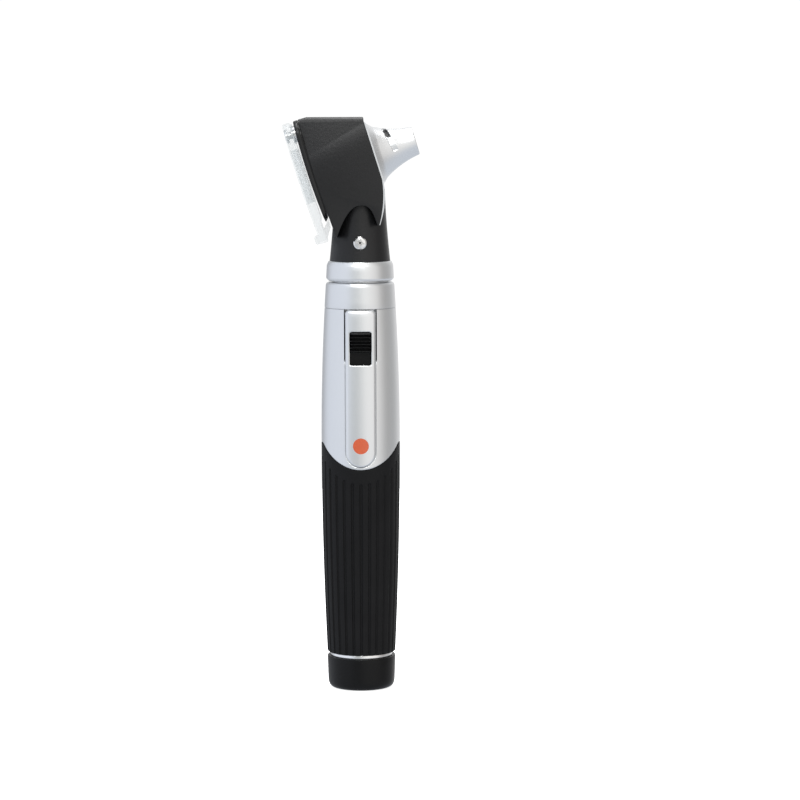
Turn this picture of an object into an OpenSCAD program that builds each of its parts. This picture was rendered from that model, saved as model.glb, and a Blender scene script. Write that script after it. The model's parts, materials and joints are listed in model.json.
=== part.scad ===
// Compact pocket otoscope: battery handle with clip and slide switch, and a fibre-optic head
// with a swivelling magnifier window. Millimetres. +Z runs up the handle from the centre of the
// flat base, +X points the way the examiner looks, and the switch faces -Y.

/* [Handle] */
// Largest radius of the barrel
barrel_max_r = 10.97; // [10.95:0.01:11.3]
// Height at which the barrel is widest
barrel_max_z = 69.5; // [66:0.5:71]
// Height of the screwed end cap
cap_h = 9.0; // [8.9:0.05:9.05]
// Number of grooves round the grip
groove_count = 28; // [20:4:32]
// Width of a grip groove
groove_w = 0.9; // [0.6:0.05:1.1]
// Depth of a grip groove
groove_depth = 0.38; // [0.2:0.02:0.5]

/* [Switch and clip] */
// Width of the pocket clip
clip_w = 8.4; // [8.0:0.1:8.5]
// How far the clip stands out from the barrel
clip_proud = 0.95; // [0.7:0.05:1.1]
// Width of the switch knob
knob_w = 5.4; // [5.0:0.1:5.5]
// Number of ridges on the switch knob
ridge_count = 6; // [4:1:6]

/* [Head] */
// Tilt of the sight line above the horizontal, in degrees
tilt = 17.5; // [17:0.25:18]
// Half the width of the head's case
case_half_w = 9.5; // [9.4:0.05:9.8]
// Radius of the cone's front end, which the ear tip slides over
nose_r = 4.0; // [3.95:0.01:4.1]
// Radius of the magnifier lens
lens_r = 7.8; // [7.0:0.1:7.9]

/* [Hidden] */
$fn = 96;
eps = 0.01;

// Colours
silver = [0.80, 0.81, 0.82];
black = [0.13, 0.13, 0.14];
clear = [0.90, 0.93, 0.94];
brass = [0.80, 0.62, 0.28];
steel = [0.72, 0.72, 0.74];

// Barrel: two long curves that meet at the widest point
barrel_upper_curve_r = 680;
barrel_lower_curve_r = 1250;
trim_h = 1.0;
grip_z = cap_h + 0.05 + trim_h;
shell_top_z = 107.1;
boundary_z = 69.5;
tongue_r = 11.4;
tongue_z = 62.6 + tongue_r;
groove_below_boundary = 4.3;
sleeve_bore_r = 8.2;

// Battery tube and the two cells
tube_r = 8.1;
tube_bore_r = 7.35;
tube_z0 = 3.2;
tube_z1 = 109.8;
thread_pitch = 1.5;
thread_r = 8.5;
cell_r = 7.1;
cell_len = 50.5;
cell_z = 6.15;
cell_top_z = cell_z + 2 * cell_len;

// Socket at the handle's top
collar_h = 7.1;
collar_top_z = shell_top_z + collar_h;
socket_r = 6.2;
bush_z = 107.35;
bush_top_z = 110.4;
pin_flange_z = 109.1;
unlock_angle = 60;
lug_drop = 1.9;

// Clip and switch, on the -Y side
clip_top_z = shell_top_z - 0.22;
clip_end_z = 63.35;
clip_thick = 1.2;
clip_gap = 0.25;
clip_side_gap = 0.3;
root_z = 105.2;
root_half = 2.0;
root_y = 9.15;
side_slot_z = 93.25;
window_w = 6.05;
window_z0 = 91.75;
window_z1 = 101.0;
knob_h = 5.6;
knob_z1 = window_z1 - 0.25;
switch_travel = 3.0;
well_y = 9.6;
stem_len = 2.2;
badge_z = 69.4;
badge_r = 2.2;

// Head: the sight line passes through the nose's centre
nose_x = 15.55;
nose_z = 153.42;
neck_z = 120.1;
neck_top_z = 140.4;
flare_r = 26.5;
flare_start = 6;
flare_len = 10.2;
bezel_u = -12.15;
bezel_t = 0.4;
case_rear_u = -29.6;
case_wall = 1.4;
case_top_z = 159.9;
frame_rear_u = -31.23;
pivot_w = 11.8;
top_w = 15.36;
pane_rear_u = -34.24;
pane_front_u = -32.14;
pane_foot = 19.2;
foot_arc_r = 25.45;
arch_top = [0.3, 135.8];
arch_front_x = 4.6;
arch_rear_x = -6.3;
case_foot_w = -18.8;

// The case's back, its frame and the window bow towards the examiner, each about its own height
bow_w = 2.1;
case_bow_r = 350;
frame_bow_r = 185;
pane_bow_r = 380;
seam = 0.3;
washer_seat_u = -30.75;
crease_a = [-13.74, 149.83];
crease_b = [0.88, 158.30];
crease_lean = 7;
bevel_depth = 0.8;
front_edge_r = 31;
front_tip = [5.38, 130.4];
screw_z = 125.4;
screw_turn = 12;
lug_groove_from = 195;
lug_groove_turn = 83;
lug_groove_entry = 28;
fin_count = 3;
fin_pitch = 1.7;
ring_z = collar_top_z + 0.4;
lamp_z = collar_top_z - 0.4;

// Light guide: its bend ends parallel to the sight line, just behind the fibre ring
bundle_r = 1.1;
bend_r = 7;
bend_angle = 90 - tilt;
ring_rear_u = -10.5;
bundle_w = -5.5;
bend_run = bend_r * (1 - cos(bend_angle));
bend_end_z = nose_z + (bundle_w - (nose_x - bend_run) * sin(tilt)) / cos(tilt);
bend_z = bend_end_z - bend_r * sin(bend_angle);

// Radius of the barrel's outside at height z
function barrel_r(z) = z > barrel_max_z
    ? barrel_max_r - pow(z - barrel_max_z, 2) / (2 * barrel_upper_curve_r)
    : barrel_max_r - pow(barrel_max_z - z, 2) / (2 * barrel_lower_curve_r);

// Points along the barrel's outside from z0 to z1, moved in by inset
function barrel_line(z0, z1, inset = 0, steps = 10) =
    [for (i = [0:steps]) let (z = z0 + (z1 - z0) * i / steps) [barrel_r(z) - inset, z]];

// Height of the line between grip and upper shell, at an angle from the -Y side
function boundary_at(angle) = let (x = barrel_max_r * sin(angle))
    (abs(angle) < 90 && abs(x) < sqrt(pow(tongue_r, 2) - pow(tongue_z - boundary_z, 2)))
    ? tongue_z - sqrt(pow(tongue_r, 2) - x * x) : boundary_z;

// A point of the head, u along the sight line and w across it, as [x, z]
function head_xz(u, w) = [nose_x + u * cos(tilt) - w * sin(tilt),
                          nose_z + u * sin(tilt) + w * cos(tilt)];

// Outer radius of the cone at distance t behind its front end
function cone_r(t) = nose_r + flare_r * cos(flare_start)
    - sqrt(pow(flare_r, 2) - pow(t + flare_r * sin(flare_start), 2));

// Radius of the neck's outside at height z
function neck_r(z) = let (s = (neck_top_z - z) / (neck_top_z - neck_z))
    7.0 + 1.45 * pow(max(0, s), 1.5);

// Height of the arch in the case's sides, steeper towards the cone
function arch_z(x) = arch_top[1]
    - (x > arch_top[0] ? 0.07 * pow(x - arch_top[0], 2.9) : 0.135 * pow(arch_top[0] - x, 2.2));

// How far a bowed face has fallen away from its foremost line, at w
function bow(r, w) = pow(w - bow_w, 2) / (2 * r);

// A turned part from its [radius, z] outline
module turned(points) rotate_extrude() polygon(points);

module ring(r_out, r_in, z0, z1) turned([[r_in, z0], [r_out, z0], [r_out, z1], [r_in, z1]]);

module disc(r, z0, z1) translate([0, 0, z0]) cylinder(r = r, h = z1 - z0);

// Children drawn as an outline in [x, z] become a slab of half width half_w, from Y = -half_w
module slab(half_w) rotate([90, 0, 0]) translate([0, 0, -half_w]) linear_extrude(2 * half_w) children();

// Children in the head's own frame: z forward along the sight line, x down across it
module on_sight_line() translate([nose_x, 0, nose_z]) rotate([0, 90 - tilt, 0]) children();

// A box given by its low and high corners
module block(low, high) translate(low) cube(high - low);

// A closed solid drawn through rings of points, each ring with the same number of points
module skin(rings) {
    sides = len(rings[0]);
    last = len(rings) - 1;
    walls = [for (i = [0:last - 1], k = [0:sides - 1])
        let (a = i * sides + k, b = i * sides + (k + 1) % sides) [a, a + sides, b + sides, b]];
    ends = [[for (k = [0:sides - 1]) k], [for (k = [sides - 1:-1:0]) last * sides + k]];
    polyhedron([for (ring = rings, p = ring) p], concat(walls, ends), convexity = 10);
}

// A wire or ridge of section points [radial, axial] wound up a helix
module helix(radius, z0, pitch, turns, section, per_turn, growth = 0) {
    count = ceil(turns * per_turn);
    skin([for (i = [0:count]) let (angle = 360 * turns * i / count) [for (p = section)
        let (r = radius + growth * i / count + p[0])
        [r * cos(angle), r * sin(angle), z0 + pitch * turns * i / count + p[1]]]]);
}

// Round section of a wire, as [radial, axial] points
function wire_section(r, sides) =
    [for (k = [0:sides - 1]) [r * cos(360 * k / sides), r * sin(360 * k / sides)]];

// ---- Handle ----

// Aluminium tube that holds the cells, with the end cap's thread at its foot
module battery_tube() color(steel) {
    difference() {
        ring(tube_r, tube_bore_r, tube_z0, tube_z1);
        block([-3.2, -tube_r - 1, window_z0 - 1.9], [3.2, -5, window_z1 + 2.5]);
        block([-1.8, -tube_r - 1, window_z1 + 2.4], [1.8, -5, tube_z1 + 1]);
    }
    helix(tube_r, tube_z0 + 0.55, thread_pitch, 2.6,
        [[-0.2, -0.5], [-0.2, 0.5], [thread_r - tube_r, 0.1], [thread_r - tube_r, -0.1]], 24);
}

// Space taken by the upper shell: everything above the line, and the round tongue at the front
module shell_zone() {
    block([-20, -20, boundary_z], [20, 20, shell_top_z]);
    intersection() {
        translate([0, 0, tongue_z]) rotate([90, 0, 0]) cylinder(r = tongue_r, h = 20);
        block([-20, -20, 50], [20, 0, boundary_z + eps]);
    }
}

// One grip groove, with a round end at its top
module groove_cut(angle) {
    top_z = boundary_at(angle) - groove_below_boundary;
    rotate([0, 0, angle]) translate([0, -8, 0]) {
        block([-groove_w / 2, -8, grip_z - 1], [groove_w / 2, 0, top_z]);
        translate([0, 0, top_z]) rotate([90, 0, 0]) cylinder(r = groove_w / 2, h = 8);
    }
}

// Moulded grip with vertical grooves, cut out at the front round the shell's tongue
module grip_sleeve() color(black) difference() {
    turned(concat([[sleeve_bore_r, grip_z], [barrel_r(grip_z) - 0.35, grip_z]],
                  barrel_line(grip_z + 0.35, boundary_z, 0, 8), [[sleeve_bore_r, boundary_z]]));
    shell_zone();
    difference() {
        for (i = [0:groove_count - 1]) let (angle = i * 360 / groove_count)
            groove_cut(angle > 180 ? angle - 360 : angle);
        turned(concat([[0, grip_z - 2]], barrel_line(grip_z - 2, boundary_z, groove_depth, 8),
            [[0, boundary_z]]));
    }
}

// The clip's outline seen from the front, grown by margin, as [x, z]
module clip_outline(margin = 0) {
    half = clip_w / 2 + margin;
    corner = 0.9;
    foot_z = clip_end_z + clip_w / 2;
    translate([0, foot_z]) circle(r = half);
    translate([-half, foot_z]) square([2 * half, clip_top_z + margin - corner - foot_z]);
    translate([-half + corner, foot_z]) square([2 * (half - corner), clip_top_z + margin - foot_z]);
    for (x = [corner - half, half - corner]) translate([x, clip_top_z + margin - corner]) circle(r = corner);
}

// The window in the clip that the switch works through
module switch_window(margin = 0) {
    r = 0.5;
    half = window_w / 2 + margin;
    low = window_z0 - margin;
    high = window_z1 + margin;
    translate([-half + r, low]) square([2 * (half - r), high - low]);
    translate([-half, low + r]) square([2 * half, high - low - 2 * r]);
    for (x = [-half + r, half - r], z = [low + r, high - r]) translate([x, z]) circle(r = r);
}

// A flat outline in [x, z] pushed out through the -Y side
module front_cut(near = 0) rotate([90, 0, 0]) translate([0, 0, near]) linear_extrude(20 - near) children();

// Slots beside the clip's upper part, cut right through to the bore
module side_slots() for (side = [-1, 1])
    translate([side * (clip_w + clip_side_gap) / 2 - clip_side_gap / 2, side_slot_z])
        square([clip_side_gap, root_z - side_slot_z]);

// Silver upper shell, with a shallow channel for the clip and a pocket for the switch
module upper_shell() color(silver) difference() {
    intersection() {
        turned(concat([[sleeve_bore_r, 55]], barrel_line(55, shell_top_z, 0, 12),
            [[sleeve_bore_r, shell_top_z]]));
        shell_zone();
    }
    intersection() {
        front_cut() clip_outline(clip_side_gap);
        turned(concat(barrel_line(55, shell_top_z + 2, clip_thick - clip_proud + clip_gap, 12),
            [[20, shell_top_z + 2], [20, 55]]));
    }
    front_cut() side_slots();
    block([-3.75, -20, window_z0 - 2.6], [3.75, 0, window_z1 + 1.2]);
    block([-root_half - 0.3, -20, root_z - 0.9], [root_half + 0.3, -root_y + 0.35, root_z + 1.1]);
}

// Bright ring between grip and end cap
module trim_ring() color(steel) turned([[sleeve_bore_r, grip_z - trim_h], [8.7, grip_z - trim_h],
    [8.8, grip_z - trim_h + 0.1], [8.8, grip_z], [sleeve_bore_r, grip_z]]);

// Rubber seal that the end cap closes against
module tube_seal() color(black) rotate_extrude() translate([8.33, 8.55]) circle(r = 0.21, $fn = 24);

// Socket ring at the handle's top, with a bayonet groove and two entries
module collar() color(silver) difference() {
    turned([[8.75, shell_top_z], [barrel_r(shell_top_z) - 0.12, shell_top_z],
        [barrel_r(shell_top_z), shell_top_z + 0.15],
        [barrel_r(collar_top_z) + 0.04, collar_top_z - 0.5], [barrel_r(collar_top_z) - 0.45, collar_top_z],
        [socket_r, collar_top_z], [socket_r, tube_z1 + 0.15], [8.75, tube_z1 + 0.15]]);
    for (a = [0, 180]) rotate([0, 0, a]) {
        rotate([0, 0, -8]) rotate_extrude(angle = unlock_angle + 16)
            translate([5, collar_top_z - lug_drop - 0.8]) square([2.15, 1.65]);
        rotate([0, 0, unlock_angle])
            block([5.5, -0.85, collar_top_z - lug_drop], [7.15, 0.85, collar_top_z + 1]);
    }
}

// Insulation between the live collar and the tube
module insulating_sleeve() color(black) ring(8.7, 8.15, shell_top_z + 0.1, tube_z1);

// Insulator that guides the centre contact
module contact_bush() color([0.93, 0.92, 0.88]) difference() {
    turned([[3.3, bush_z], [7.3, bush_z], [7.3, tube_z1], [5.9, tube_z1], [5.9, bush_top_z],
        [1.35, bush_top_z], [1.35, pin_flange_z + 0.8], [3.3, pin_flange_z + 0.8]]);
    block([-1.8, -9, bush_z - 1], [1.8, -6.9, bush_top_z]);
}

// Spring that lifts the centre contact, standing on the upper cell's cap
module contact_spring() color(steel)
    helix(2.3, cell_top_z + 0.28, 0.5, 2.8, wire_section(0.2, 6), 16);

// Centre contact pin, standing on its spring
module contact_pin() color(brass) {
    disc(2.7, pin_flange_z, pin_flange_z + 0.7);
    turned([[0, pin_flange_z + 0.6], [1.25, pin_flange_z + 0.6], [1.25, pin_flange_z + 2.6],
        [0.8, pin_flange_z + 3.0], [0, pin_flange_z + 3.0]]);
}

// One size AA cell standing at height z
module cell(z, body_colour) {
    color(body_colour) turned([[0, z], [3.6, z], [4.0, z + 0.25], [6.6, z + 0.25], [cell_r, z + 0.7],
        [cell_r, z + 48.6], [6.7, z + 49.1], [3.0, z + 49.1], [2.75, z + 49.2], [2.75, z + cell_len - 0.15],
        [2.5, z + cell_len], [0, z + cell_len]]);
}

module battery_lower() cell(cell_z, [0.25, 0.33, 0.45]);

module battery_upper() cell(cell_z + cell_len, [0.25, 0.33, 0.45]);

// Black switch bed under the clip's window, slotted for the knob's stem
module switch_base() color(black) difference() {
    intersection() {
        block([-3.65, -well_y, window_z0 - 2.5], [3.65, -8.25, window_z1 + 1.1]);
        turned(concat([[0, 80]], barrel_line(80, shell_top_z, clip_thick - clip_proud + 0.32, 12),
            [[0, shell_top_z]]));
    }
    block([-1.2, -20, knob_z1 - 0.3 - stem_len - switch_travel - 0.05], [1.2, 0, knob_z1 - 0.2]);
}

// Live strip from the collar down to the switch
module contact_strip() color(brass) {
    block([-1.4, -7.75, window_z1 + 0.2], [1.4, -7.45, tube_z1 + 0.15]);
    block([-1.4, -7.75, window_z1 - 0.6], [1.4, -7.6, window_z1 + 0.3]);
}

// Knob with cross ridges, its stem and foot
module switch_knob() color(black) {
    low = knob_z1 - knob_h;
    ridge_pitch = knob_h / ridge_count;
    block([-knob_w / 2, -11.3, low], [knob_w / 2, -well_y - 0.05, knob_z1]);
    for (i = [0:ridge_count - 1]) translate([0, 0, low + i * ridge_pitch]) slab_x(knob_w / 2)
        polygon([[-11.25, 0], [-11.75, ridge_pitch - 0.5], [-11.85, ridge_pitch - 0.3],
            [-11.7, ridge_pitch - 0.15], [-11.25, ridge_pitch - 0.1]]);
    block([-0.95, -well_y - 0.1, knob_z1 - 0.3 - stem_len], [0.95, -8.1, knob_z1 - 0.3]);
}

// Children drawn as an outline in [y, z] become a slab of half width half_w along X
module slab_x(half_w) rotate([90, 0, 90]) translate([0, 0, -half_w]) linear_extrude(2 * half_w) children();

// Spring wiper under the knob that bridges the strip and the tube
module switch_wiper() color(brass) {
    low = knob_z1 - knob_h;
    block([-1.5, -8.1, low + 0.4], [1.5, -7.85, knob_z1 + 0.3]);
    block([-0.6, -7.9, knob_z1 - 0.2], [0.6, -7.78, knob_z1 + 0.3]);
}

// Long silver clip, with its root turned in near its top
module pocket_clip() color(silver) difference() {
    union() {
        intersection() {
            front_cut() clip_outline();
            turned(concat(barrel_line(55, clip_top_z, clip_thick - clip_proud, 12),
                [[barrel_r(clip_top_z) + 0.1, clip_top_z], [barrel_r(clip_top_z) + 0.5, clip_top_z - 0.2],
                 [barrel_r(clip_top_z) + 0.8, clip_top_z - 0.6]],
                barrel_line(clip_top_z - 1.2, 55, -clip_proud, 12)));
        }
        block([-root_half, -barrel_r(root_z) - 0.3, root_z - 0.6], [root_half, -root_y, root_z + 0.8]);
    }
    front_cut() switch_window();
    intersection() {
        translate([0, 0, badge_z]) rotate([90, 0, 0]) cylinder(r = badge_r, h = 20);
        ring(20, barrel_max_r + clip_proud - 0.3, badge_z - 4, badge_z + 4);
    }
}

// Plain round badge let into the clip's end
module clip_badge() color([0.85, 0.28, 0.10]) intersection() {
    translate([0, 0, badge_z]) rotate([90, 0, 0]) cylinder(r = badge_r, h = 20);
    ring(barrel_max_r + clip_proud + 0.06, barrel_max_r + clip_proud - 0.3, badge_z - 4, badge_z + 4);
}

// Contact cup that carries the battery spring and stays still as the cap turns
module spring_cup() color(brass)
    turned([[0, 1.75], [6.6, 1.75], [6.8, 1.95], [6.8, 2.7], [6.4, 2.7], [6.4, 2.15], [0, 2.15]]);

// Spring that presses the cells upwards
module battery_spring() color(steel)
    helix(5.4, 2.55, 1.25, 2.6, wire_section(0.35, 8), 20, -1.6);

// Black end cap with a rounded foot
module end_cap() color(black) turned([
    [0, 0], [7.9, 0], [8.45, 0.2], [8.9, 0.6], [9.23, 1.25], [9.36, 2.1], [9.45, 4.3],
    [9.58, cap_h - 0.2], [9.47, cap_h], [8.95, cap_h], [8.95, 2.9], [8.0, 1.7], [0, 1.7]]);

// Threaded metal liner of the end cap
module cap_insert() color(steel)
    turned([[8.6, 3.0], [8.95, 3.0], [8.95, cap_h - 0.3], [8.75, cap_h - 0.3], [8.6, cap_h - 0.5]]);

// ---- Head ----

// Silver ring at the foot of the neck
module coupling_ring() color(silver) turned([[6.3, ring_z], [8.75, ring_z], [9.46, ring_z + 0.8],
    [9.27, neck_z - 1.2], [8.95, neck_z - 0.4], [8.62, neck_z], [6.3, neck_z]]);

// Metal plug that turns and locks in the collar, and carries the lamp
module head_plug() color(steel) difference() {
    union() {
        turned([[4.6, lamp_z - 2.85], [5.9, lamp_z - 2.85], [6.1, lamp_z - 2.65], [6.1, collar_top_z + 0.05],
            [7.6, collar_top_z + 0.05], [7.6, ring_z], [6.25, ring_z],
            [6.25, screw_z + 2.8], [4.6, screw_z + 2.8]]);
        for (a = [0, 180]) rotate([0, 0, a]) translate([0, 0, collar_top_z - lug_drop]) rotate([0, 90, 0])
            translate([0, 0, 5]) cylinder(r = 0.7, h = 2.0);
    }
    translate([0, 0, screw_z]) rotate([90, 0, 0]) cylinder(r = 1.0, h = 20);
}

// Outline of the neck's outside, grown by margin
function neck_line(margin = 0, steps = 10) =
    [for (i = [0:steps]) let (z = neck_z + (neck_top_z - neck_z) * i / steps) [neck_r(z) + margin, z]];

// Black neck, closed over the lamp except for the fibre bundle's hole
module neck() color(black) difference() {
    turned(concat([[0, neck_z]], neck_line(), [[0, neck_top_z]]));
    disc(6.3, neck_z - 1, 130.5);
    turned([[0, 130.4], [6.0, 130.4], [3.0, 135.5], [0, 135.5]]);
    turned([[0, 135], [1.4, 135], [1.4, 137], [2.4, neck_top_z + 0.1], [0, neck_top_z + 0.1]]);
    translate([0, 0, screw_z]) rotate([90, 0, 0]) {
        cylinder(r = 1.05, h = 20);
        translate([0, 0, 7.55]) cylinder(r = 1.9, h = 20);
    }
    // Nothing of the neck stands up into the sight cone's flange
    on_sight_line() translate([0, 0, bezel_u]) cylinder(r = 9.7, h = 20);
}

// Cross-slot screw that pins the neck to the plug
module neck_screw() color(steel) translate([0, 0, screw_z]) rotate([90, 0, 0]) difference() {
    turned([[0, 5.0], [0.95, 5.0], [0.95, 7.6], [1.82, 7.6], [1.82, 8.1], [1.5, 8.4], [0.8, 8.55], [0, 8.6]]);
    for (a = [-screw_turn, 90 - screw_turn]) rotate([0, 0, a]) block([-1.25, -0.24, 7.9], [1.25, 0.24, 10]);
    translate([0, 0, 7.5]) cylinder(r1 = 0.1, r2 = 0.75, h = 1.2);
}

// Centre contact of the lamp
module lamp_contact() color(brass) disc(1.6, lamp_z - 1.68, lamp_z);

// Insulator round the lamp's contact
module lamp_insulator() color([0.93, 0.92, 0.88]) ring(4.5, 1.62, lamp_z - 1.4, lamp_z);

// Lamp body, which carries the heat away, finned
module lamp_body() color(silver) difference() {
    disc(4.5, lamp_z + 0.02, lamp_z + 10.3);
    for (i = [0:fin_count - 1]) ring(6, 3.9, lamp_z + 2 + i * fin_pitch, lamp_z + 2.7 + i * fin_pitch);
}

// Lamp's round circuit board
module lamp_board() color([0.95, 0.95, 0.93]) disc(4.3, lamp_z + 10.32, lamp_z + 11.2);

// Lamp's moulded lens
module lamp_dome() color(clear) translate([0, 0, lamp_z + 11.22]) {
    cylinder(r = 1.75, h = 0.8);
    intersection() {
        translate([0, 0, 0.8]) sphere(r = 1.7, $fn = 48);
        disc(3, 0.75, 4);
    }
}

// Light guide from the lamp: up the neck, then round towards the cone
module fibre_bundle() color(clear) {
    steps = 8;
    bend = [for (i = [0:steps]) let (h = bend_angle * i / steps)
        [bend_r * (1 - cos(h)), bend_z + bend_r * sin(h), h]];
    front = head_xz(ring_rear_u, bundle_w);
    path = concat([[0, lamp_z + 14.1, 0]], bend, [[front[0], front[1], bend_angle]]);
    skin([for (p = path) [for (k = [0:15]) let (a = 360 * k / 16)
        [p[0] + bundle_r * cos(a) * cos(p[2]), -bundle_r * sin(a), p[1] - bundle_r * cos(a) * sin(p[2])]]]);
}

// Fibres spread into a ring between the two cones
module fibre_ring() color(clear) on_sight_line()
    turned([[3.25, -0.35], [3.45, -0.35], [4.7, -6.5], [6.1, ring_rear_u], [4.35, ring_rear_u]]);

// Black liner of the cone: the instrument and sight channel
module inner_cone() color(black) on_sight_line()
    turned([[2.9, 0], [3.2, 0], [3.2, -0.4], [4.3, ring_rear_u], [4.3, -10.9], [4.05, -10.9], [2.9, -4]]);

// A groove round the cone that climbs towards the nose: a disc's rim, leaning about the groove's middle
module lug_groove(turn, depth_r, width) translate([0, 0, -6.8]) rotate([0, 0, lug_groove_turn / 2])
    rotate([0, -9.5, 0]) rotate([0, 0, -lug_groove_turn / 2])
        rotate_extrude(angle = turn) translate([depth_r, -width / 2]) square([4, width]);

// Silver cone that the ear tip slides over, with two bayonet grooves
module speculum_cone() color(silver) on_sight_line() difference() {
    flare_end_r = cone_r(flare_len);
    turned(concat([[3.6, 0], [nose_r - 0.2, 0], [nose_r - 0.06, -0.06], [nose_r, -0.2]],
        [for (i = [1:12]) let (t = flare_len * i / 12) [cone_r(t), -t]],
        [[flare_end_r + 0.4, -10.7], [flare_end_r + 0.9, -11.2], [flare_end_r + 1.5, bezel_u + bezel_t],
         [8.2, bezel_u + bezel_t], [6.9, -10.8], [6.3, -9.5], [4.85, -6.5], [3.6, -0.8]]));
    for (a = [0, 180]) rotate([0, 0, a + lug_groove_from]) {
        lug_groove(lug_groove_turn, 5.1, 1.4);
        lug_groove(lug_groove_entry, 4.6, 1.8);
    }
}

// Thin silver edge between the case and the cone, running down beside the neck
module front_bezel() color(silver) difference() {
    slab(case_half_w + 0.06) polygon(concat(
        [head_xz(bezel_u, 9.3), head_xz(bezel_u + bezel_t, 8.9)],
        front_edge(bezel_t), reversed(front_edge(0))));
    turned(neck_cut_outline(0.06));
    on_sight_line() translate([0, 0, bezel_u - 3]) cylinder(r = 7.95, h = 6);
}

// Curved front edge of the case below the cone, from top to tip; the strip in front of it is
// margin thick at the top and narrows to less than half of that at the tip
function front_edge(margin, steps = 8) =
    let (top = head_xz(bezel_u, -7.3), d = front_tip - top, c = norm(d), n = [d[1], -d[0]] / c,
         centre = (front_tip + top) / 2 + n * sqrt(pow(front_edge_r, 2) - c * c / 4),
         a0 = atan2(top[1] - centre[1], top[0] - centre[0]),
         a1 = atan2(front_tip[1] - centre[1], front_tip[0] - centre[0]))
    [for (i = [0:steps]) let (a = a0 + (a1 - a0) * i / steps)
        centre + (front_edge_r + margin * min(1, 0.4 + 1.6 * (1 - i / steps))) * [cos(a), sin(a)]];

function reversed(list) = [for (i = [len(list) - 1:-1:0]) list[i]];

// The neck's outside as a turned cut, open upwards
function neck_cut_outline(margin) = concat([[0, neck_z]], neck_line(margin), [[0, neck_top_z + margin]]);

// Outline of the case from the side
function case_outline() = concat(
    [[head_xz(-26.9, top_w)[0], case_top_z], [1.0, case_top_z], head_xz(bezel_u, 9.45)],
    front_edge(0), [[5.15, 130.1], [4.85, 130.35]],
    [for (i = [0:18]) let (x = arch_front_x + (arch_rear_x - arch_front_x) * i / 18) [x, arch_z(x)]],
    back_line(case_rear_u, case_bow_r, case_foot_w, top_w));

// Line of a bowed back face in side view, from w0 to w1
function back_line(u, r, w0, w1, steps = 10) =
    [for (i = [0:steps]) let (w = w0 + (w1 - w0) * i / steps) head_xz(u + bow(r, w), w)];

// Space inside the case: above the neck, from the rear wall to the cone
function cavity_outline() = [
    head_xz(case_rear_u + case_wall, 13.8), [head_xz(-26.2, 13.8)[0], case_top_z - case_wall],
    [head_xz(-13.2, 9.8)[0], case_top_z - case_wall],
    head_xz(bezel_u - 0.8, 8.6), head_xz(bezel_u - 0.8, -8.6),
    [5.0, 137], [4.9, 129], [3, 121], [-3, 121], [-5.6, 125],
    head_xz(case_rear_u + case_wall, -15.6)];

// Black case: flat sides that lean in above a crease, bevelled along the top, arched over the neck
module head_case() color(black) difference() {
    slab(case_half_w) polygon(case_outline());
    difference() {
        slab(case_half_w - case_wall) polygon(cavity_outline());
        for (side = [-1, 1]) crease_cut(side, case_wall);
    }
    turned(neck_cut_outline(0.06));
    on_sight_line() {
        translate([0, 0, bezel_u - 2]) cylinder(r = 7.9, h = 4);
        translate([0, 0, case_rear_u - 1]) cylinder(r = 8.2, h = 4);
        translate([-pivot_w, 0, case_rear_u - 1]) cylinder(r = 1.0, h = 4);
    }
    for (side = [-1, 1]) {
        crease_cut(side);
        top_bevel(side);
    }
}

// Wedge that leans the case's side in above the crease
module crease_cut(side, inset = 0) {
    along = atan2(crease_b[1] - crease_a[1], crease_b[0] - crease_a[0]);
    translate([crease_a[0], side * (case_half_w - inset), crease_a[1]])
        rotate([0, -along, 0]) rotate([side * crease_lean, 0, 0])
            translate([-20, side > 0 ? 0 : -6, 0]) cube([60, 6, 30]);
}

// Bevel along one of the case's two top edges, level in front and along the tilted rear corner
module top_bevel(side) {
    rear_top = head_xz(-20, top_w);
    for (edge = [[10, case_top_z, 0], [rear_top[0], rear_top[1], -tilt]])
        translate([edge[0], side * (case_half_w - 0.35), edge[1]]) rotate([0, edge[2], 0])
            rotate([side * 45, 0, 0]) translate([-40, side > 0 ? 0 : -6, -bevel_depth]) cube([80, 6, 6]);
}

// Window-side frame of the case: bowed, with a foot that slopes about the window's pivot
module rear_frame() color(black) on_sight_line() difference() {
    union() {
        bowed(frame_rear_u, frame_bow_r, case_rear_u - seam, case_bow_r) frame_plate(9.3);
        bowed(case_rear_u - seam - eps, case_bow_r, case_rear_u, case_bow_r) frame_plate(8.7);
    }
    translate([0, 0, frame_rear_u - 1]) cylinder(r = 7.9, h = 5);
    translate([-pivot_w, 0, frame_rear_u - 1]) cylinder(r = 1.0, h = 5);
    translate([-pivot_w, 0, frame_rear_u - 1]) cylinder(r = 2.6, h = washer_seat_u - frame_rear_u + 1);
}

// Keeps the part of its children between a bowed rear face and a bowed front face
module bowed(rear_u, rear_r, front_u, front_r) intersection() {
    children();
    rotate([90, 0, 0]) translate([0, 0, -12]) linear_extrude(24) polygon(concat(
        [for (w = [-22:2:18]) [-w, rear_u + bow(rear_r, w)]],
        [for (w = [18:-2:-22]) [-w, front_u + bow(front_r, w)]]));
}

// Frame outline: round shoulders at the top, an arc about the pivot at the foot
module frame_plate(half) let (frame_top = top_w - 0.05 + half - 9.3) intersection() {
    translate([0, 0, frame_rear_u]) {
        block([4 - frame_top, -half, 0], [20, half, 3]);
        block([-frame_top, 4 - half, 0], [0, half - 4, 3]);
        for (y = [4 - half, half - 4]) translate([4 - frame_top, y, 0]) cylinder(r = 4, h = 3);
    }
    translate([-pivot_w, 0, frame_rear_u]) cylinder(r1 = foot_arc_r + 0.4, r2 = foot_arc_r - 1.6, h = 3);
}

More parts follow.
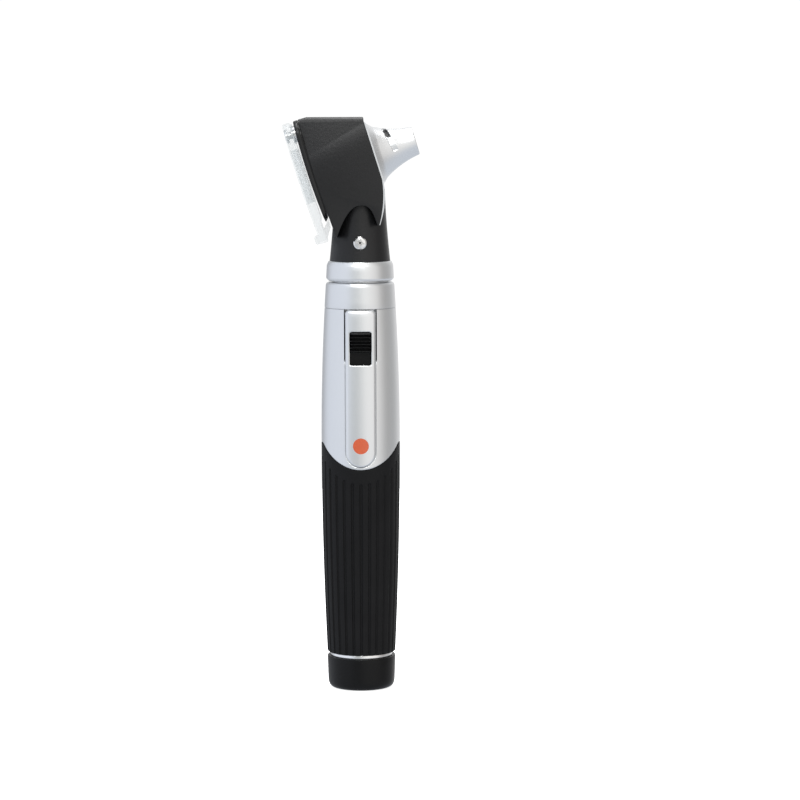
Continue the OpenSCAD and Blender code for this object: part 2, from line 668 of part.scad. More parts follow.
// Steel pin that the window swings on
module pivot_pin() color(steel) on_sight_line() translate([-pivot_w, 0, 0])
    turned([[0, pane_rear_u + 0.15], [1.75, pane_rear_u + 0.15], [1.9, pane_rear_u + 0.3],
        [1.9, pane_rear_u + 0.9], [1.0, pane_rear_u + 0.9],
        [1.0, case_rear_u + case_wall], [0, case_rear_u + case_wall]]);

// Friction washer between window and frame
module pivot_washer() color(steel) on_sight_line() translate([-pivot_w, 0, 0])
    ring(2.4, 1.03, pane_front_u + 0.02, washer_seat_u);

// ---- Window ----

// Window outline in the head's own frame, drawn at height zero
module pane_outline(half, inset = 0) {
    top = top_w - inset;
    r = 4.2 - inset;
    hull() {
        for (y = [-half + r, half - r]) translate([-top + r, y]) circle(r = r, $fn = 48);
        for (y = [-half + 3, half - 3]) translate([10.5, y]) circle(r = 3, $fn = 32);
        for (y = [-4.2, 4.2]) translate([pane_foot - 1.2 - inset, y]) circle(r = 1.2, $fn = 32);
    }
}

// Clear window with its lens seat, thumb tab and stop
module window_plate() color(clear) on_sight_line() difference() {
    union() {
        bowed(pane_rear_u, pane_bow_r, pane_front_u, pane_bow_r)
            translate([0, 0, pane_rear_u]) linear_extrude(3) pane_outline(9.35);
        bowed(pane_front_u - eps, pane_bow_r, pane_front_u + 0.5, pane_bow_r) intersection() {
            translate([0, 0, pane_rear_u]) linear_extrude(4) pane_outline(8.9, 0.5);
            translate([-20, -10, pane_rear_u]) cube([33, 20, 4]);
        }
        translate([pane_foot - 2.3, -5.0, pane_rear_u - 0.83]) cube([2.2, 10, 1.5]);
        rotate([90, 0, 0]) translate([0, 0, -3.5]) linear_extrude(7)
            polygon([[15.9, pane_front_u + 0.2], [pane_foot - 0.1, pane_front_u + 0.2],
                [17.38, -30.9], [15.7, -29.75], [13.35, -29.65]]);
    }
    translate([0, 0, pane_rear_u - 2]) cylinder(r = lens_r, h = 5.5);
    translate([-pivot_w, 0, pane_rear_u - 1]) cylinder(r = 1.05, h = 6);
    translate([-pivot_w, 0, pane_rear_u - 1]) cylinder(r = 2.0, h = 1.95);
    translate([-pivot_w, 0, pane_front_u - 0.02]) cylinder(r = 2.7, h = 2);
}

// Magnifier lens, convex on both faces
module magnifier_lens() color([0.92, 0.96, 0.98]) on_sight_line() {
    edge = lens_r - 0.02;
    turned(concat(
        [for (i = [0:8]) let (r = edge * i / 8) [r, pane_rear_u + 0.05 + r * r / 62]],
        [for (i = [8:-1:0]) let (r = edge * i / 8) [r, frame_rear_u - 0.3 - r * r / 75]]));
}

battery_tube();
grip_sleeve();
upper_shell();
trim_ring();
tube_seal();
collar();
insulating_sleeve();
contact_bush();
contact_spring();
battery_lower();
battery_upper();
switch_base();
contact_strip();
contact_pin();
switch_knob();
switch_wiper();
pocket_clip();
clip_badge();
spring_cup();
battery_spring();
end_cap();
cap_insert();
coupling_ring();
head_plug();
neck();
neck_screw();
lamp_contact();
lamp_insulator();
lamp_body();
lamp_board();
lamp_dome();
fibre_bundle();
fibre_ring();
inner_cone();
speculum_cone();
front_bezel();
head_case();
rear_frame();
pivot_pin();
pivot_washer();
window_plate();
magnifier_lens();
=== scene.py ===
"""Looks of the pocket otoscope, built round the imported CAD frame. Lengths below are in millimetres."""
import bpy, bmesh, json, math
from mathutils import Matrix, Vector


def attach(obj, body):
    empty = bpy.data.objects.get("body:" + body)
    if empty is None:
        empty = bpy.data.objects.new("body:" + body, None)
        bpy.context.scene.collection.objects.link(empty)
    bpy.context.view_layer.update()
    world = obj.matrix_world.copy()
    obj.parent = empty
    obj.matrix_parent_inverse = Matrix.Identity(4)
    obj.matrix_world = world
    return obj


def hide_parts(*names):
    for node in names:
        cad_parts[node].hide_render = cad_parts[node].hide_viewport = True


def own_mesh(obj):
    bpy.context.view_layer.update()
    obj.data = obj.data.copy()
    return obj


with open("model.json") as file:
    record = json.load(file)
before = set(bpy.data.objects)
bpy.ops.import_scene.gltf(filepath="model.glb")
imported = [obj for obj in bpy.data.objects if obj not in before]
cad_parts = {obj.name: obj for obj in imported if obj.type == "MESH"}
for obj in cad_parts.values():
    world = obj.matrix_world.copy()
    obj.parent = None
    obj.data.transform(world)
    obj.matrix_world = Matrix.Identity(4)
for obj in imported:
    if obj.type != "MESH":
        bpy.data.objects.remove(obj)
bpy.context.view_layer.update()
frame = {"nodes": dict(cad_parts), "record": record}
scene = bpy.context.scene
MM = 0.001

# ---------------------------------------------------------------- shape of the object, as in the CAD
BARREL_R, BARREL_Z = 10.97, 69.5
UPPER_CURVE, LOWER_CURVE = 680.0, 1250.0
CAP_TOP, TRIM_TOP, SHELL_TOP, COLLAR_TOP = 9.0, 10.05, 107.1, 114.2
BOUNDARY_Z, TONGUE_R, TONGUE_Z = 69.5, 11.4, 74.0
NECK_Z, NECK_TOP = 120.1, 140.4
RING_Z = COLLAR_TOP + 0.4
CLIP_HALF, CLIP_TOP, CLIP_END = 4.2, 106.88, 63.35
WINDOW_HALF, WINDOW_Z0, WINDOW_Z1 = 3.025, 91.75, 101.0
KNOB_TOP, KNOB_H, KNOB_HALF, RIDGES = 100.75, 5.6, 2.7, 6
WELL_Y = 9.6
NOSE, TILT = (15.55, 153.42), math.radians(17.5)
BEZEL_U, BEZEL_T, CASE_REAR_U = -12.15, 0.4, -29.6
FRAME_REAR_U, PANE_FRONT_U, PANE_REAR_U = -31.23, -32.14, -34.24
CASE_HALF, CASE_TOP, TOP_W, PIVOT_W, PANE_FOOT, FOOT_ARC_R = 9.5, 159.9, 15.36, 11.8, 19.2, 25.45
CREASE_A, CREASE_B = (-13.74, 149.83), (0.88, 158.30)
FRONT_TIP, FRONT_EDGE_R = (5.38, 130.4), 31.0
ARCH_TOP, ARCH_FRONT, ARCH_REAR, CASE_FOOT_W = (0.3, 135.8), 4.6, -6.3, -18.8
BOW_W, CASE_BOW, FRAME_BOW, PANE_BOW, SEAM = 2.1, 350.0, 185.0, 380.0, 0.3
SCREW_Z = 125.4
SIGHT_BORE_R, PIVOT_HOLE_R = 7.9, 1.05
FLOOR_R, FLOOR_GLOW = 0.42, 0.85


def barrel_r(z):
    curve = UPPER_CURVE if z > BARREL_Z else LOWER_CURVE
    return BARREL_R - (z - BARREL_Z) ** 2 / (2 * curve)


def boundary_at(angle):
    """Height of the line between grip and shell, at an angle from the -Y side."""
    x = BARREL_R * math.sin(angle)
    reach = math.sqrt(TONGUE_R ** 2 - (TONGUE_Z - BOUNDARY_Z) ** 2)
    if math.cos(angle) > 0 and abs(x) < reach:
        return TONGUE_Z - math.sqrt(TONGUE_R ** 2 - x * x)
    return BOUNDARY_Z


def neck_r(z):
    return 7.0 + 1.45 * max(0.0, (NECK_TOP - z) / (NECK_TOP - NECK_Z)) ** 1.5


def cone_r(t):
    start = math.radians(6)
    return 4.0 + 26.5 * math.cos(start) - math.sqrt(26.5 ** 2 - (t + 26.5 * math.sin(start)) ** 2)


def bow(curve, w):
    """How far a bowed face has fallen away from its foremost line, at w."""
    return (w - BOW_W) ** 2 / (2 * curve)


def head_xz(u, w):
    return (NOSE[0] + u * math.cos(TILT) - w * math.sin(TILT),
            NOSE[1] + u * math.sin(TILT) + w * math.cos(TILT))


def smooth(t):
    t = min(1.0, max(0.0, t))
    return t * t * (3 - 2 * t)


# ---------------------------------------------------------------- mesh helpers
def finish_mesh(name, bm, sharp=35.0, weld=0.002):
    """A mesh object from bmesh in millimetres: closed, outward, smooth except at sharp edges."""
    bmesh.ops.remove_doubles(bm, verts=bm.verts, dist=weld)
    bmesh.ops.dissolve_degenerate(bm, edges=bm.edges, dist=weld / 2)
    bmesh.ops.recalc_face_normals(bm, faces=bm.faces)
    for face in bm.faces:
        face.smooth = True
    limit = math.radians(sharp)
    for edge in bm.edges:
        edge.smooth = len(edge.link_faces) == 2 and edge.calc_face_angle(0) < limit
    bmesh.ops.scale(bm, vec=(MM, MM, MM), verts=bm.verts)
    mesh = bpy.data.meshes.new(name)
    bm.to_mesh(mesh)
    bm.free()
    obj = bpy.data.objects.new(name, mesh)
    scene.collection.objects.link(obj)
    return obj


def apply_modifiers(obj, sharp=35.0):
    """Turns the object's modifiers into its mesh."""
    depsgraph = bpy.context.evaluated_depsgraph_get()
    made = bpy.data.meshes.new_from_object(obj.evaluated_get(depsgraph))
    obj.modifiers.clear()
    obj.data = made
    bm = bmesh.new()
    bm.from_mesh(made)
    bmesh.ops.remove_doubles(bm, verts=bm.verts, dist=1e-7)
    for face in bm.faces:
        face.smooth = True
    for edge in bm.edges:
        edge.smooth = len(edge.link_faces) == 2 and edge.calc_face_angle(0) < math.radians(sharp)
    bm.to_mesh(made)
    bm.free()


def cut(obj, cutter, operation="DIFFERENCE"):
    mod = obj.modifiers.new("cut", "BOOLEAN")
    mod.operation, mod.solver, mod.object = operation, "MANIFOLD", cutter
    apply_modifiers(obj)
    bpy.data.objects.remove(cutter, do_unlink=True)


def bevelled(obj, width, segments=2, angle=40.0, sharp=35.0):
    mod = obj.modifiers.new("bevel", "BEVEL")
    mod.width, mod.segments = width * MM, segments
    mod.limit_method, mod.angle_limit = "ANGLE", math.radians(angle)
    mod.harden_normals = False
    mod.use_clamp_overlap = True
    apply_modifiers(obj, sharp)


def rounded(points, radii, steps=4):
    """A closed [a, b] outline with the given corners rounded."""
    out = []
    for i, p in enumerate(points):
        r = radii[i] if isinstance(radii, (list, tuple)) else radii
        a, b, c = Vector(points[i - 1]), Vector(p), Vector(points[(i + 1) % len(points)])
        d1, d2 = (a - b), (c - b)
        if r <= 0 or d1.length < 1e-6 or d2.length < 1e-6:
            out.append(tuple(b))
            continue
        n1, n2 = d1.normalized(), d2.normalized()
        half = math.acos(max(-1, min(1, n1.dot(n2)))) / 2
        if half > math.radians(88):
            out.append(tuple(b))
            continue
        reach = min(r / math.tan(half), 0.48 * d1.length, 0.48 * d2.length)
        rr = reach * math.tan(half)
        centre = b + (n1 + n2).normalized() * (rr / math.sin(half))
        s, e = b + n1 * reach - centre, b + n2 * reach - centre
        turn = math.atan2(s.x * e.y - s.y * e.x, s.dot(e))
        for k in range(steps + 1):
            t = turn * k / steps
            out.append((centre.x + s.x * math.cos(t) - s.y * math.sin(t),
                        centre.y + s.x * math.sin(t) + s.y * math.cos(t)))
    return out


def lathe(name, profile, sides=128, sharp=35.0, radius_at=None):
    """A turned solid about Z from its closed [radius, z] outline; radius_at(angle, r, z) may move a point."""
    bm = bmesh.new()
    rings = []
    for k in range(sides):
        a = 2 * math.pi * k / sides
        ring = []
        for r, z in profile:
            if r < 1e-6:
                ring.append(None)
                continue
            rr = radius_at(a, r, z) if radius_at else r
            ring.append(bm.verts.new((rr * math.sin(a), -rr * math.cos(a), z)))
        rings.append(ring)
    poles = [bm.verts.new((0, 0, z)) if r < 1e-6 else None for r, z in profile]
    count = len(profile)
    for k in range(sides):
        one, two = rings[k], rings[(k + 1) % sides]
        for i in range(count):
            j = (i + 1) % count
            loop = []
            for v in (one[i] or poles[i], one[j] or poles[j], two[j] or poles[j], two[i] or poles[i]):
                if v not in loop:
                    loop.append(v)
            if len(loop) > 2:
                bm.faces.new(loop)
    return finish_mesh(name, bm, sharp)


def on_sight_line(obj):
    """Moves a part made about Z: Z becomes the sight line, +X is down across it, the origin is the nose."""
    turn = Matrix.Rotation(math.pi / 2 - TILT, 4, "Y")
    obj.data.transform(Matrix.Translation((NOSE[0] * MM, 0, NOSE[1] * MM)) @ turn)
    return obj


def plate(name, outer, holes, z0, z1, sharp=35.0):
    """A flat plate from an [x, y] outline with holes, between heights z0 and z1."""
    bm = bmesh.new()
    edges = []
    for loop in [outer] + holes:
        verts = [bm.verts.new((p[0], p[1], z0)) for p in loop]
        edges += [bm.edges.new((verts[i], verts[(i + 1) % len(verts)])) for i in range(len(verts))]
    if holes:
        bmesh.ops.triangle_fill(bm, use_beauty=True, use_dissolve=False, edges=edges)
    else:
        bm.faces.new(bm.verts[:])
    made = bmesh.ops.extrude_face_region(bm, geom=bm.faces[:])
    bmesh.ops.translate(bm, vec=(0, 0, z1 - z0),
                        verts=[v for v in made["geom"] if isinstance(v, bmesh.types.BMVert)])
    bmesh.ops.dissolve_limit(bm, angle_limit=0.002, verts=bm.verts, edges=bm.edges)
    return finish_mesh(name, bm, sharp)


def ring_points(r, count=96, x=0.0, y=0.0):
    return [(x + r * math.cos(2 * math.pi * i / count), y + r * math.sin(2 * math.pi * i / count))
            for i in range(count)]


def settle(obj, body, slot_name, *nodes):
    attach(obj, body)
    if nodes:
        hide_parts(*nodes)
    obj.data.materials.clear()
    obj.data.materials.append(MATS[slot_name])
    return obj


# ---------------------------------------------------------------- materials
def shader(name, base, rough, metal=0.0, vary=0.06, grain=(900.0, 0.00002), rough_vary=0.08, streak=None,
           **sockets):
    """A procedural finish: slow colour drift, fine grain in the bump and a little unevenness in the gloss."""
    mat = bpy.data.materials.new(name)
    mat.use_nodes = True
    tree = mat.node_tree
    bsdf = tree.nodes["Principled BSDF"]
    new, link = tree.nodes.new, tree.links.new
    where = new("ShaderNodeTexCoord")
    place = new("ShaderNodeMapping")
    link(where.outputs["Object"], place.inputs["Vector"])
    if streak:
        place.inputs["Scale"].default_value = streak
    drift = new("ShaderNodeTexNoise")
    drift.inputs["Scale"].default_value = 120.0
    drift.inputs["Detail"].default_value = 3.0
    link(place.outputs["Vector"], drift.inputs["Vector"])
    tint = new("ShaderNodeMix")
    tint.data_type = "RGBA"
    tint.inputs["A"].default_value = (*[c * (1 - vary) for c in base], 1)
    tint.inputs["B"].default_value = (*[min(1, c * (1 + vary)) for c in base], 1)
    link(drift.outputs["Fac"], tint.inputs["Factor"])
    link(tint.outputs["Result"], bsdf.inputs["Base Color"])
    fine = new("ShaderNodeTexNoise")
    fine.inputs["Scale"].default_value = grain[0]
    fine.inputs["Detail"].default_value = 2.0
    link(place.outputs["Vector"], fine.inputs["Vector"])
    spread = new("ShaderNodeMapRange")
    spread.inputs["To Min"].default_value = max(0.02, rough - rough_vary)
    spread.inputs["To Max"].default_value = min(1.0, rough + rough_vary)
    link(fine.outputs["Fac"], spread.inputs["Value"])
    link(spread.outputs["Result"], bsdf.inputs["Roughness"])
    bump = new("ShaderNodeBump")
    bump.inputs["Strength"].default_value = 1.0
    bump.inputs["Distance"].default_value = grain[1]
    link(fine.outputs["Fac"], bump.inputs["Height"])
    link(bump.outputs["Normal"], bsdf.inputs["Normal"])
    bsdf.inputs["Metallic"].default_value = metal
    for key, value in sockets.items():
        bsdf.inputs[key.replace("_", " ")].default_value = value
    return mat


MATS = {
    "satin_silver": shader("satin_silver", (0.80, 0.81, 0.82), 0.36, 1.0, 0.015, (1800, 0.000004), 0.04),
    "clip_silver": shader("clip_silver", (0.82, 0.83, 0.84), 0.34, 1.0, 0.015, (1600, 0.000004), 0.04),
    "bright_trim": shader("bright_trim", (0.90, 0.90, 0.90), 0.12, 1.0, 0.02, (700, 0.000003), 0.04),
    "black_grip": shader("black_grip", (0.006, 0.006, 0.0065), 0.5, 0.0, 0.3, (1500, 0.00004), 0.1,
                         Specular_IOR_Level=0.12),
    "black_satin": shader("black_satin", (0.002, 0.002, 0.0022), 0.32, 0.0, 0.2, (1200, 0.00002), 0.08,
                          Specular_IOR_Level=0.2),
    "black_head": shader("black_head", (0.004, 0.004, 0.0045), 0.36, 0.0, 0.25, (1300, 0.00003), 0.08,
                         Specular_IOR_Level=0.42),
    "clear_window": shader("clear_window", (0.55, 0.59, 0.60), 0.14, 0.0, 0.01, (500, 0.0), 0.05, Alpha=0.26),
    "lens_glass": shader("lens_glass", (0.86, 0.90, 0.92), 0.03, 0.0, 0.005, (300, 0.0), 0.0, IOR=1.3,
                         Alpha=0.16),
    "light_guide": shader("light_guide", (0.90, 0.93, 0.88), 0.2, 0.0, 0.06, (2500, 0.00002), 0.05, IOR=1.5,
                          Transmission_Weight=0.6),
    "inner_metal": shader("inner_metal", (0.66, 0.67, 0.68), 0.35, 1.0, 0.05, (800, 0.00002), 0.08,
                          (1, 1, 14)),
    "contact_brass": shader("contact_brass", (0.80, 0.60, 0.27), 0.25, 1.0, 0.08, (600, 0.00001), 0.08),
    "spring_steel": shader("spring_steel", (0.86, 0.85, 0.84), 0.16, 1.0, 0.05, (900, 0.00001), 0.06),
    "white_insulator": shader("white_insulator", (0.82, 0.81, 0.76), 0.5, 0.0, 0.03, (900, 0.00002), 0.06),
    "black_insulator": shader("black_insulator", (0.03, 0.03, 0.03), 0.5, 0.0, 0.1, (900, 0.00002), 0.06),
    "seal_rubber": shader("seal_rubber", (0.02, 0.02, 0.02), 0.7, 0.0, 0.1, (1200, 0.00002), 0.06),
    "cell_sleeve": shader("cell_sleeve", (0.05, 0.12, 0.26), 0.3, 0.2, 0.08, (300, 0.00002), 0.05),
    "badge_orange": shader("badge_orange", (0.45, 0.07, 0.018), 0.3, 0.0, 0.05, (700, 0.00001), 0.05,
                           Coat_Weight=0.5),
}
for sub in frame["record"]["subparts"]:
    node = frame["nodes"][sub["node"]]
    node.data.materials.clear()
    node.data.materials.append(MATS[sub["material_slot"]])


# ---------------------------------------------------------------- handle
def end_cap():
    outer = [(7.9, 0.0), (8.25, 0.08), (8.6, 0.27), (8.9, 0.6), (9.1, 0.95), (9.24, 1.4), (9.33, 2.0),
             (9.38, 2.8),
             (9.44, 4.3), (9.5, 6.6), (9.57, CAP_TOP - 0.35), (9.55, CAP_TOP - 0.14), (9.45, CAP_TOP)]
    inner = [(9.0, CAP_TOP), (8.95, CAP_TOP - 0.1), (8.95, 2.9), (8.0, 1.7), (0, 1.7)]
    foot = [(0, 0.12), (4.6, 0.12), (4.9, 0.0)]
    return lathe("end_cap_shell", foot + outer + inner, 160, 30)


settle(end_cap(), "end_cap", "black_satin", "end_cap")
settle(lathe("trim_band", rounded([(8.2, TRIM_TOP - 1.0), (8.8, TRIM_TOP - 1.0), (8.8, TRIM_TOP),
                                   (8.2, TRIM_TOP)],
                                  [0, 0.12, 0.1, 0], 3), 160, 50), "handle", "bright_trim", "trim_ring")


def grip():
    """Moulded grip: rounded grooves that stop below the shell's edge, and a rolled upper edge."""
    grooves, half, depth = 28, 0.45, 0.40
    stops = [0.0, 0.42, 0.72, 1.0, 1.45]
    angles = []
    for g in range(grooves):
        centre = 2 * math.pi * g / grooves
        for s in stops:
            for side in ((1,) if s == 0 else (-1, 1)):
                angles.append(centre + side * s * half / BARREL_R)
        for m in (0.38, 0.5, 0.62):
            angles.append(centre + 2 * math.pi / grooves * m)
    angles = sorted(a % (2 * math.pi) for a in angles)
    rows = [0.0, 0.004, 0.01, 0.03] + [0.03 + 0.94 * (i + 1) / 34 for i in range(34)] + [0.985, 0.993, 1.0]
    bm = bmesh.new()
    columns = []
    for a in angles:
        signed = a if a <= math.pi else a - 2 * math.pi
        top = boundary_at(signed)
        nearest = round(a / (2 * math.pi / grooves)) * 2 * math.pi / grooves
        off = abs(a - nearest) * BARREL_R
        centre = nearest if nearest <= math.pi else nearest - 2 * math.pi
        groove_top = boundary_at(centre) - 4.3
        column = []
        inner = 8.2
        column.append(bm.verts.new((inner * math.sin(a), -inner * math.cos(a), TRIM_TOP)))
        heights = [TRIM_TOP + t * (groove_top - 1.2 - TRIM_TOP) for t in rows[:-3]]
        heights += [groove_top - 0.5, groove_top, groove_top + 0.2, groove_top + 0.36, groove_top + 0.47,
                    groove_top + 0.7,
                    (groove_top + top) / 2, top - 0.8, top - 0.3, top - 0.12, top]
        for z in heights:
            if z <= groove_top:
                d = off / half
            else:
                d = math.hypot(off, z - groove_top) / half
            shape = max(0.0, 1 - d ** 2.6) if d < 1 else 0.0
            r = barrel_r(z) - depth * shape ** 0.55
            if 1 <= d < 1.45:
                r -= 0.05 * (1 - smooth((d - 1) / 0.45))
            r -= 0.32 * max(0.0, 1 - (z - TRIM_TOP) / 0.4) ** 2
            edge = (top - z) / 0.3
            if edge < 1:
                r -= 0.14 * (1 - edge) ** 2
            column.append(bm.verts.new((r * math.sin(a), -r * math.cos(a), z)))
        column.append(bm.verts.new((inner * math.sin(a), -inner * math.cos(a), top)))
        columns.append(column)
    for k in range(len(columns)):
        one, two = columns[k], columns[(k + 1) % len(columns)]
        for i in range(len(one)):
            j = (i + 1) % len(one)
            bm.faces.new((one[i], two[i], two[j], one[j]))
    return finish_mesh("grip_shell", bm, 60)


settle(grip(), "handle", "black_grip", "grip_sleeve")


def clip_edge(x, z, margin=0.0):
    """Distance inside the clip's outline (negative outside), grown by margin."""
    half = CLIP_HALF + margin
    foot = CLIP_END + CLIP_HALF
    top = CLIP_TOP + margin - z
    side = half - math.hypot(x, foot - z) if z < foot else half - abs(x)
    corner = 0.9
    if top < corner and abs(x) > half - corner:
        return corner - math.hypot(abs(x) - (half - corner), corner - top)
    return min(side, top)


def contact_spring():
    """Round-wire spring under the centre contact."""
    radius, wire, turns, pitch, low, per_turn, around = 2.3, 0.2, 2.8, 0.5, 107.43, 40, 12
    count = round(turns * per_turn)
    bm = bmesh.new()
    rings = []
    for i in range(count + 1):
        a = 2 * math.pi * turns * i / count
        ring = []
        for k in range(around):
            t = 2 * math.pi * k / around
            r = radius + wire * math.cos(t)
            ring.append(bm.verts.new((r * math.cos(a), r * math.sin(a),
                                      low + pitch * turns * i / count + wire * math.sin(t))))
        rings.append(ring)
    for one, two in zip(rings, rings[1:]):
        for k in range(around):
            j = (k + 1) % around
            bm.faces.new((one[k], one[j], two[j], two[k]))
    bm.faces.new(rings[0][::-1])
    bm.faces.new(rings[-1])
    return finish_mesh("contact_coil", bm, 50, 0.0005)


coil = settle(contact_spring(), "handle", "spring_steel", "contact_spring")
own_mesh(coil)


def slot_share(z):
    """Nought beside the clip's plain lower part, one beside its slotted upper part."""
    return smooth((z - 92.4) / 0.8)


def upper_shell():
    """Upper shell: round tongue with a rolled edge, a channel for the clip and two slots beside it."""
    slot = (CLIP_HALF, CLIP_HALF + 0.3)
    near = [0, 1.0, 2.0, 2.7, 3.05, 3.45, 3.75, 3.9, 3.98, slot[0], slot[0] + 0.05, slot[0] + 0.11,
            slot[0] + 0.17, slot[1] - 0.05, slot[1], slot[1] + 0.06, slot[1] + 0.16,
            4.8, 5.4, 6.2, 7.0, 7.8]
    xs = [-x for x in near[:0:-1]] + near
    rest = [i / 44 for i in range(1, 44)]
    rows = [i / 10 * 0.02 for i in range(4)] + [0.008 + 0.1 * i / 40 for i in range(1, 41)]
    rows += [0.108 + 0.872 * i / 60 for i in range(1, 61)] + [0.985, 0.99, 0.994, 0.997, 1.0]
    bm = bmesh.new()
    columns = []

    def column(angle_at):
        start = angle_at(66.0)
        low = boundary_at(start) + 0.02
        made = []
        heights = [low + t * (SHELL_TOP - 0.02 - low) for t in rows]
        a = angle_at(low)
        made.append((8.2, low, a))
        for z in heights:
            a = angle_at(z)
            r = barrel_r(z)
            x = r * math.sin(a)
            rise = z - low
            if rise < 0.3:
                r -= 0.13 * (1 - rise / 0.3) ** 2
            fall = SHELL_TOP - z
            if fall < 0.2:
                r -= 0.14 * (1 - fall / 0.2) ** 2
            if math.cos(a) > 0:
                deep = slot_share(z)
                inside = clip_edge(x, z, 0.14 + 0.16 * deep)
                r -= (0.17 + 0.29 * deep) * smooth((inside + 0.05) / 0.10)
                if slot[0] - 0.01 < abs(x) < slot[1] + 0.01 and 93.0 < z < 106.6:
                    r = 8.4
                if abs(x) < slot[1] + 0.01 and z > CLIP_TOP - 0.7:
                    r = 8.4
                if abs(x) < 3.46 and 89.6 < z < 101.8:
                    r = 8.3
            made.append((r, z, a))
        made.append((8.2, SHELL_TOP - 0.02, angle_at(SHELL_TOP)))
        return [bm.verts.new((r * math.sin(a), -r * math.cos(a), z)) for r, z, a in made]

    for x in xs:
        columns.append(column(lambda z, x=x: math.asin(x / barrel_r(z))))
    for t in rest:
        def angle_at(z, t=t):
            first = math.asin(xs[-1] / barrel_r(z))
            return first + (2 * math.pi - 2 * first) * t
        columns.append(column(angle_at))
    for k in range(len(columns)):
        one, two = columns[k], columns[(k + 1) % len(columns)]
        for i in range(len(one)):
            j = (i + 1) % len(one)
            bm.faces.new((one[i], two[i], two[j], one[j]))
    return finish_mesh("shell_skin", bm, 45)


settle(upper_shell(), "handle", "satin_silver", "upper_shell")


def collar():
    r0, r1 = barrel_r(SHELL_TOP), barrel_r(COLLAR_TOP)
    side = [(barrel_r(z) + 0.02, z)
            for z in (SHELL_TOP + 0.25, SHELL_TOP + 2, SHELL_TOP + 4, COLLAR_TOP - 1.2, COLLAR_TOP - 0.75)]
    profile = [(8.75, SHELL_TOP + 0.01), (r0 - 0.16, SHELL_TOP + 0.01), (r0 - 0.02, SHELL_TOP + 0.1)] + side
    profile += [(r1 - 0.05, COLLAR_TOP - 0.45), (r1 - 0.25, COLLAR_TOP - 0.15), (r1 - 0.55, COLLAR_TOP),
                (6.2, COLLAR_TOP), (6.2, 110.0), (8.75, 110.0)]
    return lathe("socket_collar", profile, 160, 40)


def coupling_ring():
    top = NECK_Z
    profile = [(6.3, RING_Z), (8.7, RING_Z), (8.95, RING_Z + 0.12), (9.38, RING_Z + 0.62),
               (9.46, RING_Z + 0.85), (9.44, RING_Z + 1.1),
               (9.36, RING_Z + 2.6), (9.28, top - 1.3), (9.2, top - 1.0), (8.92, top - 0.36),
               (8.78, top - 0.1), (8.6, top), (6.3, top)]
    return lathe("coupling_band", profile, 160, 40)


settle(collar(), "handle", "satin_silver", "collar")
settle(coupling_ring(), "head", "satin_silver", "coupling_ring")


